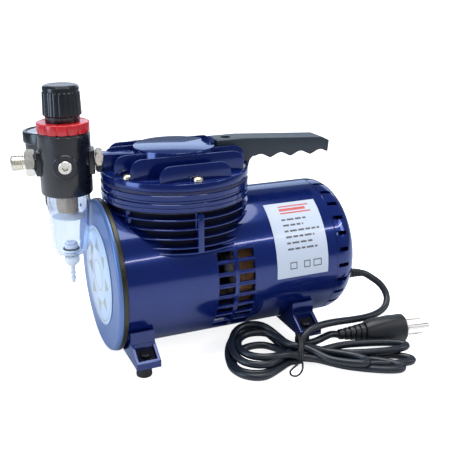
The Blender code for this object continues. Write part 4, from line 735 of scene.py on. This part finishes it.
finish_piece(join_pieces(stripes, "label_print_red"), red_ink)

# Inside the motor: laminated steel, enamelled copper coils, bearings, and a black fan.
lamination = surface("laminated_steel", (0.24, 0.24, 0.25), 0.45, 1.0)
sheets = place_texture(lamination, add_node(lamination, "ShaderNodeTexWave", Scale=700.0))
sheets.bands_direction = "X"
sheet_bump = add_node(lamination, "ShaderNodeBump", Strength=0.5, Distance=0.0002)
join_nodes(lamination, sheets.outputs["Fac"], sheet_bump.inputs["Height"])
join_nodes(lamination, sheet_bump.outputs["Normal"], shader_of(lamination).inputs["Normal"])
copper = surface("enamelled_copper", (0.30, 0.12, 0.045), 0.35, 0.9, coat=0.3,
        shades=((0.16, 0.06, 0.02), (0.42, 0.22, 0.08), 220))
wires = place_texture(copper, add_node(copper, "ShaderNodeTexWave", Scale=420.0, Distortion=6.0))
wire_bump = add_node(copper, "ShaderNodeBump", Strength=0.8, Distance=0.0005)
join_nodes(copper, wires.outputs["Fac"], wire_bump.inputs["Height"])
join_nodes(copper, wire_bump.outputs["Normal"], shader_of(copper).inputs["Normal"])
ground_steel = surface("ground_steel", (0.56, 0.56, 0.57), 0.25, 1.0, gloss=(0.18, 0.35, 200),
        bumps=(1500, 0.1, 0.0001))
cast_alloy = surface("bare_casting", (0.60, 0.61, 0.62), 0.42, 1.0, gloss=(0.34, 0.52, 150),
        bumps=(800, 0.35, 0.0003))
fan_plastic = surface("fan_plastic", (0.02, 0.02, 0.022), 0.45, gloss=(0.38, 0.55, 150),
        bumps=(900, 0.3, 0.0002))
rubber = surface("nitrile_rubber", (0.018, 0.018, 0.019), 0.7,
        shades=((0.014, 0.014, 0.015), (0.03, 0.03, 0.031), 120), bumps=(900, 0.4, 0.0003))
for name, finish in (("stator_core", lamination), ("rotor", lamination), ("stator_winding", copper),
        ("motor_shaft", ground_steel), ("front_bearing", ground_steel), ("rear_bearing", ground_steel),
        ("crank_eccentric", ground_steel), ("connecting_rod", cast_alloy), ("diaphragm_plate", cast_alloy),
        ("cooling_fan", fan_plastic), ("diaphragm", rubber), ("handle_screw", ground_steel)):
    dress_node(name, finish)

# Crankcase: an aluminium casting that saddles the motor, ringed with cooling fins and ribbed
# on both sides, with bosses under the head screws. Blue gloss paint, painted shade between the fins.
HEAD_X = 61.2
HEAD = (HEAD_X, 0, 0)
HEAD_RADIUS = 61.6
RING_LEVELS = (99.5, 104.1, 111.7, 119.3, 127.0)
RING_THICKNESS = 1.3
case_outline = [(46, 70), (56, 70)]
for level in RING_LEVELS:
    top = level + RING_THICKNESS
    case_outline += [(56, level), (HEAD_RADIUS - 0.3, level), (HEAD_RADIUS, level + 0.3),
            (HEAD_RADIUS, top - 0.3), (HEAD_RADIUS - 0.3, top), (56, top)]
case_outline += [(56, 132.0), (46, 132.0)]
case = turned("finned_crankcase", case_outline, HEAD, 128)
SCREW_CIRCLE = 55.5
screw_turns = [math.radians(-90 + 60 * number) for number in range(6)]
for turn in screw_turns:
    place = (HEAD_X + SCREW_CIRCLE * math.cos(turn), SCREW_CIRCLE * math.sin(turn), 0)
    merge_piece(case, turned("boss", [(0, 119.7), (3.2, 119.7), (3.7, 120.4), (3.7, 131.95), (0, 131.95)],
            place, 24))
for side in (-1, 1):
    rib = plate("rib", box_outline(5, 8, (0, side * 57.6)), 31.8, (HEAD_X, 0, 99.9), ALONG, ACROSS)
    round_edges(rib, 0.5, 2)
    merge_piece(case, rib)
drill(case, 61.3, -40, 180, SHAFT, 160, ALONG)
skirt = turned("skirt", [(30, 60), (80, 60), (80, 99.45), (30, 99.45)], HEAD, 48)
merge_piece(case, skirt, "DIFFERENCE")
finish_piece(case, cast_gloss, "crankcase")
# Painted shade: a near-black blue, dull material that stands in for the shade in recesses between fins.
painted_recess_shade = surface("painted_recess_shade", (0.0016, 0.0022, 0.012), 0.55)
shader_of(painted_recess_shade).inputs["Specular IOR Level"].default_value = 0.12
mottle(painted_recess_shade, (0.0012, 0.0016, 0.009), (0.003, 0.004, 0.022), 60)
grain(painted_recess_shade, 500, 0.3, 0.0003)
case.data.materials.append(painted_recess_shade)
# The core-wall faces between the fins, where shade falls, take the painted shade material.
head_axis = at(*HEAD)
for face in case.data.polygons:
    offset = face.center - head_axis
    offset.z = 0
    if offset.length < 57 * MM and abs(face.normal.z) < 0.5:
        face.material_index = 1

# Head stack: the ring that clamps the diaphragm, the valve plate and a dark fibre gasket,
# turned from castings and painted with the head.
clamp = turned("diaphragm_clamp", [(46, 133.8), (61.2, 133.8), (61.6, 134.2), (61.6, 136.9), (61.1, 137.3),
        (61.1, 137.5), (61.6, 137.9), (61.6, 140.5), (61.2, 140.9), (46, 140.9)], HEAD, 160)
finish_piece(clamp, cast_gloss, "clamp_ring")
valve = turned("valve_casting", [(0, 141.2), (60.4, 141.2), (60.4, 142.6), (61.0, 143.0), (61.3, 143.3),
        (61.6, 143.7), (61.6, 147.3), (61.2, 147.7), (0, 147.7)], HEAD, 160)
finish_piece(valve, cast_gloss, "valve_plate")
fibre = surface("gasket_fibre", (0.008, 0.012, 0.07), 0.5,
                shades=((0.006, 0.009, 0.055), (0.012, 0.017, 0.09), 200), bumps=(1200, 0.5, 0.0003))
gasket = turned("fibre_gasket", [(47, 147.9), (61.1, 147.9), (61.2, 148.1), (61.2, 150.3), (61.1, 150.5),
        (47, 150.5)], HEAD, 128)
finish_piece(gasket, fibre, "head_gasket")

# Cylinder head: one casting with a flat deck, six upright fins with rounded shoulders, a dome
# in the middle, a block for the air port and a small arched lug in front of the handle.
DECK = 156.9
DOME_TOP = 174.8
PORT_Z = 164.4
PORT_TURN = math.radians(12)
air_line = Vector((-math.cos(PORT_TURN), math.sin(PORT_TURN), 0))
across_line = UP.cross(air_line)
head = turned("head_casting", [(0, 150.7), (61.2, 150.7), (61.6, 151.1), (61.6, 155.9), (61.3, 156.6),
        (60.6, DECK), (0, DECK)], HEAD, 160)
for offset, height in ((16.8, 16.3), (33.7, 15.9), (50.4, 12.6)):
    half = math.sqrt(58.5 ** 2 - offset ** 2)
    corner = 9.5
    outline = [(-half, -1), (half, -1)] + arc((half - corner, height - corner), corner, 0, 90, 12)
    outline += arc((-half + corner, height - corner), corner, 90, 180, 12)
    for side in (-1, 1):
        fin = plate("fin", outline, 2, (HEAD_X, side * offset + 1, DECK), ALONG, UP)
        round_edges(fin, 0.45, 2, 50)
        merge_piece(head, fin)
dome = turned("dome", [(0, DECK - 1), (34, DECK - 1), (34, DOME_TOP - 1.0), (33.7, DOME_TOP - 0.3),
        (33.0, DOME_TOP), (0, DOME_TOP)], HEAD, 128)
merge_piece(head, dome)
block_base = Vector(HEAD) + air_line * 28 + UP * (DECK - 1)
block = plate("port_block", box_outline(33.0, 13, (16.5, 0)), 14.5, block_base, air_line, across_line)
round_edges(block, 1.0, 3)
merge_piece(head, block)
lug = plate("lug", arc((0, 0), 33.6, -21, 21, 20) + arc((0, 0), 30.6, 21, -21, 20), 5.2,
            (HEAD_X, 0, DOME_TOP - 2), ALONG, ACROSS)
for vertex in lug.data.vertices:
    if vertex.co.z > at(0, 0, DOME_TOP).z:
        slope = abs(vertex.co.y - SHAFT_Y) / (12.5 * MM)
        vertex.co.z -= 2.6 * MM * slope ** 3
merge_piece(head, lug)
drill(head, 30, 140, DOME_TOP - 4, HEAD, 64)
drill(head, 4.8, 22, 64, (HEAD_X, 0, PORT_Z), 32, air_line)
notch = plate("notch", box_outline(12, 21.5, (6, 0)), 30, Vector(HEAD) + air_line * 58.6 + UP * 153.65,
              air_line, across_line)
merge_piece(head, notch, "DIFFERENCE")
finish_piece(head, cast_gloss, "cylinder_head", angle=28)

# Head screws: six plated pan heads with a cross recess.
screw_brass = surface("yellow_zinc", (0.78, 0.70, 0.48), 0.28, 1.0,
        shades=((0.74, 0.64, 0.40), (0.82, 0.76, 0.58), 200), gloss=(0.18, 0.4, 400))
pan = turned("pan_head", [(0, 125.5), (2, 125.5), (2, 157.2), (4.1, 157.2), (4.2, 158.2), (3.7, 159.5),
        (2.6, 160.3), (1.2, 160.6), (0, 160.6)], (HEAD_X, -SCREW_CIRCLE, 0), 32)
for quarter in (0, 1):
    wide, deep = (5.0, 1.1) if quarter == 0 else (1.1, 5.0)
    recess = plate("recess", box_outline(wide, deep), 3, (HEAD_X, -SCREW_CIRCLE, 159.2), ALONG, ACROSS)
    merge_piece(pan, recess, "DIFFERENCE")
for number in range(1, 7):
    screw = copy_piece(pan, f"pan_head_{number}", turn=math.radians(60 * (number - 1)), centre=HEAD)
    finish_piece(screw, screw_brass, f"head_screw_{number}")
bpy.data.objects.remove(pan)

# Carry handle: black glass-filled nylon with a satin surface and four finger hollows, screwed
# down on the head's deck.
nylon = surface("black_nylon", (0.016, 0.026, 0.038), 0.4,
                shades=((0.013, 0.022, 0.033), (0.022, 0.034, 0.048), 80), gloss=(0.32, 0.46, 160),
                bumps=(1000, 0.25, 0.0002))
HANDLE_START = 95.5
HANDLE_END = 203
HANDLE_TOP = 177
seat = DECK + 0.3
heel = HEAD_X + HEAD_RADIUS + 0.3
grip_start = heel + 8.5
outline = [(HANDLE_START, seat), (heel, seat), (heel, seat - 5.5), (heel + 1.2, seat - 5.5)]
outline += [(heel + 1.7, seat - 2.2), (heel + 2.8, seat + 0.8), (heel + 5.2, seat + 3.3)]
for step in range(57):
    x = grip_start + (HANDLE_END - 3 - grip_start) * step / 56
    wave = 0.5 + 0.5 * math.cos(2 * math.pi * (x - grip_start - 3.9) / 19.6)
    outline.append((x, seat + 1 + 3.6 * wave ** 0.75 - 1.6 * (x - grip_start) / 107.5))
outline += [(HANDLE_END - 1, seat + 1.2), (HANDLE_END, HANDLE_TOP - 8.5), (HANDLE_END - 7, HANDLE_TOP - 5),
            (HANDLE_START + 25, HANDLE_TOP), (HANDLE_START, HANDLE_TOP)]
handle = plate("nylon_handle", outline, 22.4, (0, 11.2, 0), ALONG, UP)
round_edges(handle, 1.5, 4, 30)
drill(handle, 4.4, 165.5, 190, (HANDLE_START + 12, 0, 0), 32)
finish_piece(handle, nylon, "carry_handle", angle=40)

# Feet: four cast brackets that hug the motor, each on a black rubber pad.
FOOT_Y = 57
dark_steel = surface("blackened_steel", (0.03, 0.03, 0.035), 0.4, 0.8,
        shades=((0.02, 0.02, 0.024), (0.05, 0.05, 0.055), 200), gloss=(0.32, 0.5, 300))
bracket_outline = [(72, 12.9), (72, 18.3), (56.6, 28), (56.2, 38.2)] + arc((0, SHAFT_Z), 61.3, -30, -66.2,
        14)
pocket_outline = [(69.8, 15.2), (56.9, 23.4), (56.9, 44), (69.8, 44)]
for end, x in (("front", 12), ("rear", 157)):
    for hand, side in (("near", -1), ("far", 1)):
        places = [(side * y, z) for y, z in bracket_outline]
        bracket = plate(f"{end}_{hand}_leg", places, 20, (x - 10, 0, 0), ACROSS, UP)
        pocket = plate("pocket", [(side * y, z) for y, z in pocket_outline], 15.2, (x - 7.6, 0, 0), ACROSS,
                       UP)
        merge_piece(bracket, pocket, "DIFFERENCE")
        round_edges(bracket, 0.7, 3, 50)
        finish_piece(bracket, cast_gloss, f"{end}_{hand}_bracket")
        # Painted shade: the floor and walls of each bracket's pocket take the near-black painted shade
        # material.
        bracket.data.materials.append(painted_recess_shade)
        for face in bracket.data.polygons:
            offset = (face.center - at(x, side * 63.3, 18.0)) / MM
            if abs(offset.x) < 7.65 and abs(offset.y) < 6.5 and offset.z < 3.6 - 0.62 * (side * offset.y):
                face.material_index = 1
        pad = turned(f"{end}_{hand}_pad",
                     [(0, 0), (5.6, 0), (6.3, 0.5), (6.5, 1.2), (6.3, 5.0), (5.9, 5.6), (5.9, 7.0),
                      (6.4, 7.6), (6.5, 12.6), (0, 12.6)], (x, side * FOOT_Y, 0), 48)
        finish_piece(pad, rubber, f"{end}_{hand}_foot")
        stud = turned(f"{end}_{hand}_stud",
                      [(0, 12.7), (2.0, 12.7), (2.0, 19.6), (4.4, 19.6), (4.4, 20.9), (3.4, 22.0),
                       (0, 22.4)], (x, side * (FOOT_Y + 4.5), 0), 24)
        finish_piece(stud, dark_steel)

# Air fittings: nickel-plated brass hexagons with turned chamfers, and a threaded outlet.
nickel = surface("nickel_plate", (0.86, 0.82, 0.72), 0.3, 1.0,
        shades=((0.82, 0.77, 0.64), (0.92, 0.90, 0.84), 100), gloss=(0.22, 0.4, 200),
        bumps=(2000, 0.08, 0.0001))
REACH = 88.7
regulator = Vector((HEAD_X, 0, 0)) + air_line * REACH
port_level = regulator + UP * PORT_Z


def hexagon_nut(name, flats, low, high, base, axis):
    """A hexagon bar with both ends chamfered round."""
    radius = flats / math.sqrt(3)
    axis = axis.normalized()
    side = axis.orthogonal().normalized()
    nut = plate(name, arc((0, 0), radius, 30, 330, 6), high - low, Vector(base) + axis * low, side,
                axis.cross(side))
    tool = turned("chamfer", [(0, low - 0.01), (flats / 2 - 0.3, low - 0.01), (radius + 0.05, low + 1.6),
            (radius + 0.05, high - 1.6), (flats / 2 - 0.3, high + 0.01), (0, high + 0.01)], base, 64, axis)
    merge_piece(nut, tool, "INTERSECT")
    return nut


head_port = Vector((HEAD_X, 0, PORT_Z))
nipple = hexagon_nut("air_nipple", 17.5, 58.9, 65.0, head_port, air_line)
merge_piece(nipple, rod("stem", 4.3, 51, 72, head_port, axis=air_line))
finish_piece(nipple, nickel, "head_nipple")
outlet = hexagon_nut("air_outlet", 19, 23.7, 31.8, port_level, air_line)
thread = [(0, 15), (4.3, 15), (4.3, 30), (5.6, 30), (5.6, 33.0)]
for pitch in range(7):
    thread += [(6.0, 33.2 + 1.3 * pitch), (6.6, 33.7 + 1.3 * pitch), (6.0, 34.2 + 1.3 * pitch)]
thread += [(5.5, 42.4), (5.1, 42.8), (0, 42.8)]
merge_piece(outlet, turned("thread", thread, port_level, 48, air_line))
merge_piece(outlet, turned("bore", [(0, 10), (2.6, 10), (2.6, 41.6), (3.6, 42.9), (0, 42.9)], port_level,
        28, air_line), "DIFFERENCE")
finish_piece(outlet, nickel, "outlet_fitting")
front_line = Vector((-math.sin(PORT_TURN), -math.cos(PORT_TURN), 0))
plug = turned("hex_plug", [(0, 15), (4.3, 15), (4.3, 22.2), (5.2, 22.2), (5.2, 23.2), (4.8, 23.6),
        (0, 23.6)], port_level, 36, front_line)
socket_side = front_line.orthogonal().normalized()
socket = plate("socket", arc((0, 0), 2.9, 30, 330, 6), 6, port_level + front_line * 20.5, socket_side,
               front_line.cross(socket_side))
merge_piece(plug, socket, "DIFFERENCE")
finish_piece(plug, nickel, "port_plug")

# Filter-regulator: black moulded body with square side ports and a round front boss, a red
# locking ring, and a ribbed knob that lifts to unlock.
FOOT = 138.4
BODY_TOP = 188.7
black_gloss = surface("regulator_black", (0.005, 0.006, 0.009), 0.26, coat=0.25,
        shades=((0.004, 0.005, 0.008), (0.009, 0.011, 0.015), 90), gloss=(0.22, 0.36, 160),
        bumps=(900, 0.12, 0.0002))
body_piece = turned("regulator_casting",
        [(0, FOOT), (19.4, FOOT), (20.4, FOOT + 0.5), (21, FOOT + 1.6), (21, BODY_TOP - 1.4),
         (20.5, BODY_TOP - 1.0), (20.5, BODY_TOP), (0, BODY_TOP)], regulator, 96)
for line in (air_line, -air_line):
    side = UP.cross(line)
    boss = plate("side_port", box_outline(17, 20), 11.4, port_level + line * 12, side, UP)
    round_edges(boss, 1.2, 3)
    merge_piece(body_piece, boss)
merge_piece(body_piece, turned("front_port", [(0, 12), (9.9, 12), (9.9, 21.3), (9.3, 21.9), (0, 21.9)],
        port_level, 48, front_line))
gauge_turn = math.radians(12 - 16)
gauge_line = Vector((math.sin(gauge_turn), math.cos(gauge_turn), 0))
merge_piece(body_piece, turned("rear_port", [(0, 12), (8, 12), (8, 22.4), (7.4, 23), (0, 23)], port_level,
        40, gauge_line))
for line in (air_line, -air_line, front_line, gauge_line):
    drill(body_piece, 4.6, 14, 30, port_level, axis=line)
drill(body_piece, 13, 130, FOOT + 10, regulator, 48)
drill(body_piece, 4.3, BODY_TOP - 12, 195, regulator)
finish_piece(body_piece, black_gloss, "regulator_body", angle=30)

red_gloss = surface("red_gloss", (0.58, 0.016, 0.022), 0.24, coat=0.3,
        shades=((0.52, 0.012, 0.018), (0.66, 0.025, 0.032), 60), gloss=(0.18, 0.3, 160))
ring_low = BODY_TOP + 0.3
lock_outline = []
for step in range(168):
    turn = 2 * math.pi * step / 168
    radius = 19.7 + 1.3 * min(1.0, 2.2 * abs(math.cos(7 * turn)))
    lock_outline.append((radius * math.cos(turn), radius * math.sin(turn)))
lock = plate("locking_ring", lock_outline, 8.2, regulator + UP * ring_low, ALONG, ACROSS)
round_edges(lock, 0.7, 3, 60)
drill(lock, 4.3, 180, 210, regulator)
finish_piece(lock, red_gloss, "bonnet_ring", angle=30)

knob_low = ring_low + 8.2 + 0.3
knob_top = knob_low + 28.9
knob = turned("lifting_knob", [(0, knob_low + 18), (5.4, knob_low + 18), (5.4, knob_low), (13.6, knob_low),
        (13.8, knob_low + 0.4), (13.8, knob_low + 4.2), (14.6, knob_low + 4.9), (15.4, knob_low + 5.6),
        (14.75, knob_top - 5.6), (14.35, knob_top - 5.2), (13.9, knob_top - 5.0), (13.9, knob_top - 4.2),
        (14.4, knob_top - 3.9), (14.3, knob_top - 1.9), (13.4, knob_top - 0.6), (12.2, knob_top - 0.1),
        (11.0, knob_top), (0, knob_top)], regulator, 144)
for vertex in knob.data.vertices:
    offset = vertex.co - at(*regulator)
    height = vertex.co.z / MM
    if knob_low + 5.3 < height < knob_top - 5.3:
        ribs = math.cos(24 * math.atan2(offset.y, offset.x))
        offset.z = 0
        vertex.co -= offset.normalized() * (0.35 * MM if ribs < -0.3 else 0.0)
finish_piece(knob, black_gloss, "pressure_knob", "knob", 28)
dress_node("adjusting_screw", ground_steel)

# Pressure gauge: a black case lying face up on its side stem, with a printed card, a red
# needle and a flat lens under the bezel.
gauge_centre = regulator + gauge_line * 49.8
GAUGE_FOOT = 159.2
GAUGE_TOP = 181.6
gauge = turned("gauge_housing", [(0, GAUGE_FOOT), (18.6, GAUGE_FOOT), (19.8, GAUGE_FOOT + 0.5),
        (20.2, GAUGE_FOOT + 1.6), (20.2, 172.1), (21.3, 172.1), (21.8, 172.6), (21.8, GAUGE_TOP - 1.4),
        (21.3, GAUGE_TOP - 0.4), (20.4, GAUGE_TOP), (18.9, GAUGE_TOP), (18.6, GAUGE_TOP - 0.4),
        (18.6, GAUGE_TOP - 7), (1.4, GAUGE_TOP - 7), (1.4, GAUGE_TOP - 9), (0, GAUGE_TOP - 9)],
               gauge_centre, 96)
stem_line = -gauge_line
gauge_level = gauge_centre + UP * PORT_Z
merge_piece(gauge, turned("stem", [(0, 16.2), (6.3, 16.2), (6.5, 16.5), (6.5, 26.2), (6.2, 26.5),
        (4.3, 26.5), (4.3, 34.8), (0, 34.8)], gauge_level, 32, stem_line))
finish_piece(gauge, black_gloss, "gauge_case", angle=30)
dial_card = surface("dial_card", (0.72, 0.74, 0.76), 0.55,
        shades=((0.70, 0.72, 0.74), (0.76, 0.78, 0.80), 80))
dial = turned("dial_card", [(1.4, 174.9), (18.3, 174.9), (18.3, 175.4), (1.4, 175.4)], gauge_centre, 96)
finish_piece(dial, dial_card, "gauge_dial")
dial_ink = surface("dial_ink", (0.02, 0.02, 0.022), 0.5,
        shades=((0.015, 0.015, 0.016), (0.04, 0.04, 0.042), 300))
ticks = []
for number in range(28):
    turn = math.radians(225 - 10 * number)
    line = Vector((math.cos(turn), math.sin(turn), 0))
    long_tick = number % 3 == 0
    ticks.append(plate("tick", box_outline(3.2 if long_tick else 1.8, 0.5 if long_tick else 0.3,
            (15.4 if long_tick else 16.1, 0)), 0.05, gauge_centre + UP * 175.4, line, UP.cross(line)))
finish_piece(join_pieces(ticks, "dial_ticks"), dial_ink)
needle_red = surface("needle_red", (0.55, 0.03, 0.03), 0.35,
        shades=((0.5, 0.025, 0.025), (0.62, 0.05, 0.04), 200))
dress_node("gauge_needle", needle_red)
clear = surface("clear_polycarbonate", (0.86, 0.91, 0.99), 0.04)
shader_of(clear).inputs["Transmission Weight"].default_value = 1.0
shader_of(clear).inputs["IOR"].default_value = 1.45
grain(clear, 60, 0.04, 0.0004)
clear_rays = add_node(clear, "ShaderNodeLightPath")
open_air = add_node(clear, "ShaderNodeBsdfTransparent")
open_air.inputs["Color"].default_value = (0.93, 0.96, 1.0, 1)
either = add_node(clear, "ShaderNodeMixShader")
join_nodes(clear, clear_rays.outputs["Is Shadow Ray"], either.inputs["Fac"])
join_nodes(clear, shader_of(clear).outputs["BSDF"], either.inputs[1])
join_nodes(clear, open_air.outputs["BSDF"], either.inputs[2])
join_nodes(clear, either.outputs["Shader"], clear.node_tree.nodes["Material Output"].inputs["Surface"])
lens = turned("gauge_window", [(0, 179.4), (18.3, 179.4), (18.3, 180.7), (18.1, 180.9), (0, 180.9)],
              gauge_centre, 96)
finish_piece(lens, clear, "gauge_lens")

# Filter bowl: clear moulded polycarbonate, with a sintered bronze filter, a white baffle, and
# a white drain valve through its floor.
BOWL_TOP = 138.1
BOWL_FOOT = 84.6
bowl_outline = [(3, BOWL_FOOT)] + arc((6.4, BOWL_FOOT + 9), 9, -90, 0, 10)
bowl_outline += [(16.6, 119), (17, 125.1), (17.6, 128), (18.5, 131.1), (18.5, BOWL_TOP), (15.2, BOWL_TOP),
        (15.2, 125.1), (14.8, 119)]
bowl_outline += arc((6.4, BOWL_FOOT + 9), 7.2, 0, -90, 8) + [(3, BOWL_FOOT + 1.8)]
bowl = turned("clear_bowl", bowl_outline, regulator, 96)
for vertex in bowl.data.vertices:
    offset = vertex.co - at(*regulator)
    height = vertex.co.z / MM
    offset.z = 0
    if height > 130.5 and offset.length > 18 * MM and math.cos(12 * math.atan2(offset.y, offset.x)) < -0.4:
        vertex.co -= offset.normalized() * 0.7 * MM
finish_piece(bowl, clear, "filter_bowl", angle=40)
sintered = surface("sintered_bronze", (0.50, 0.36, 0.24), 0.65, metallic=0.4,
        shades=((0.42, 0.29, 0.18), (0.60, 0.46, 0.33), 500),
        bumps=(900, 0.9, 0.0006, "ShaderNodeTexVoronoi"))
filter_piece = turned("sintered_filter",
        [(3.2, 122.9), (7.8, 122.9), (8.2, 123.3), (8.2, 143.8), (7.9, 144.1), (3.2, 144.1)], regulator, 48)
finish_piece(filter_piece, sintered, "filter_element")
acetal = surface("white_acetal", (0.78, 0.81, 0.84), 0.35,
        shades=((0.74, 0.78, 0.82), (0.82, 0.84, 0.86), 120), gloss=(0.28, 0.42, 200),
        bumps=(900, 0.08, 0.0002))
baffle = turned("baffle_plate", [(0, 118.7), (8, 118.6), (13.4, 117.7), (13.9, 118.0), (14.0, 118.9),
        (10, 120.6), (6, 121.5), (6, 122.6), (2.9, 122.6), (2.9, 148.1), (0, 148.1)], regulator, 64)
finish_piece(baffle, acetal, "baffle_disc")
nut = turned("drain_seat", [(3, 86.7), (6.8, 86.7), (7, 86.9), (7, 88.7), (5.6, 90.1), (5.6, 93.5),
        (5.3, 93.7), (3, 93.7)], regulator, 48)
finish_piece(nut, acetal, "drain_nut")
stem_outline = [(0, 95.3), (4.1, 95.3), (4.4, 95.0), (4.4, 94.0), (2.7, 94.0), (2.7, 82.3), (6.1, 82.3),
                (6.4, 82.0), (6.4, 77.6), (6.1, 77.0), (4.4, 75.2), (2.4, 73.4), (1.9, 72.9)]
for barb in range(3):
    level = 71.8 - 4.2 * barb
    stem_outline += [(2.4, level), (2.3, level - 0.4), (1.75, level - 3.4)]
stem_outline += [(1.5, 58.4), (0, 58.3)]
drain = turned("drain_valve", stem_outline, regulator, 40)
finish_piece(drain, acetal, "drain_stem", "drain", 30)
o_ring = turned("drain_o_ring", arc((6.0, 89.4), 1.0, 0, 330, 12), regulator, 48)
finish_piece(o_ring, rubber)
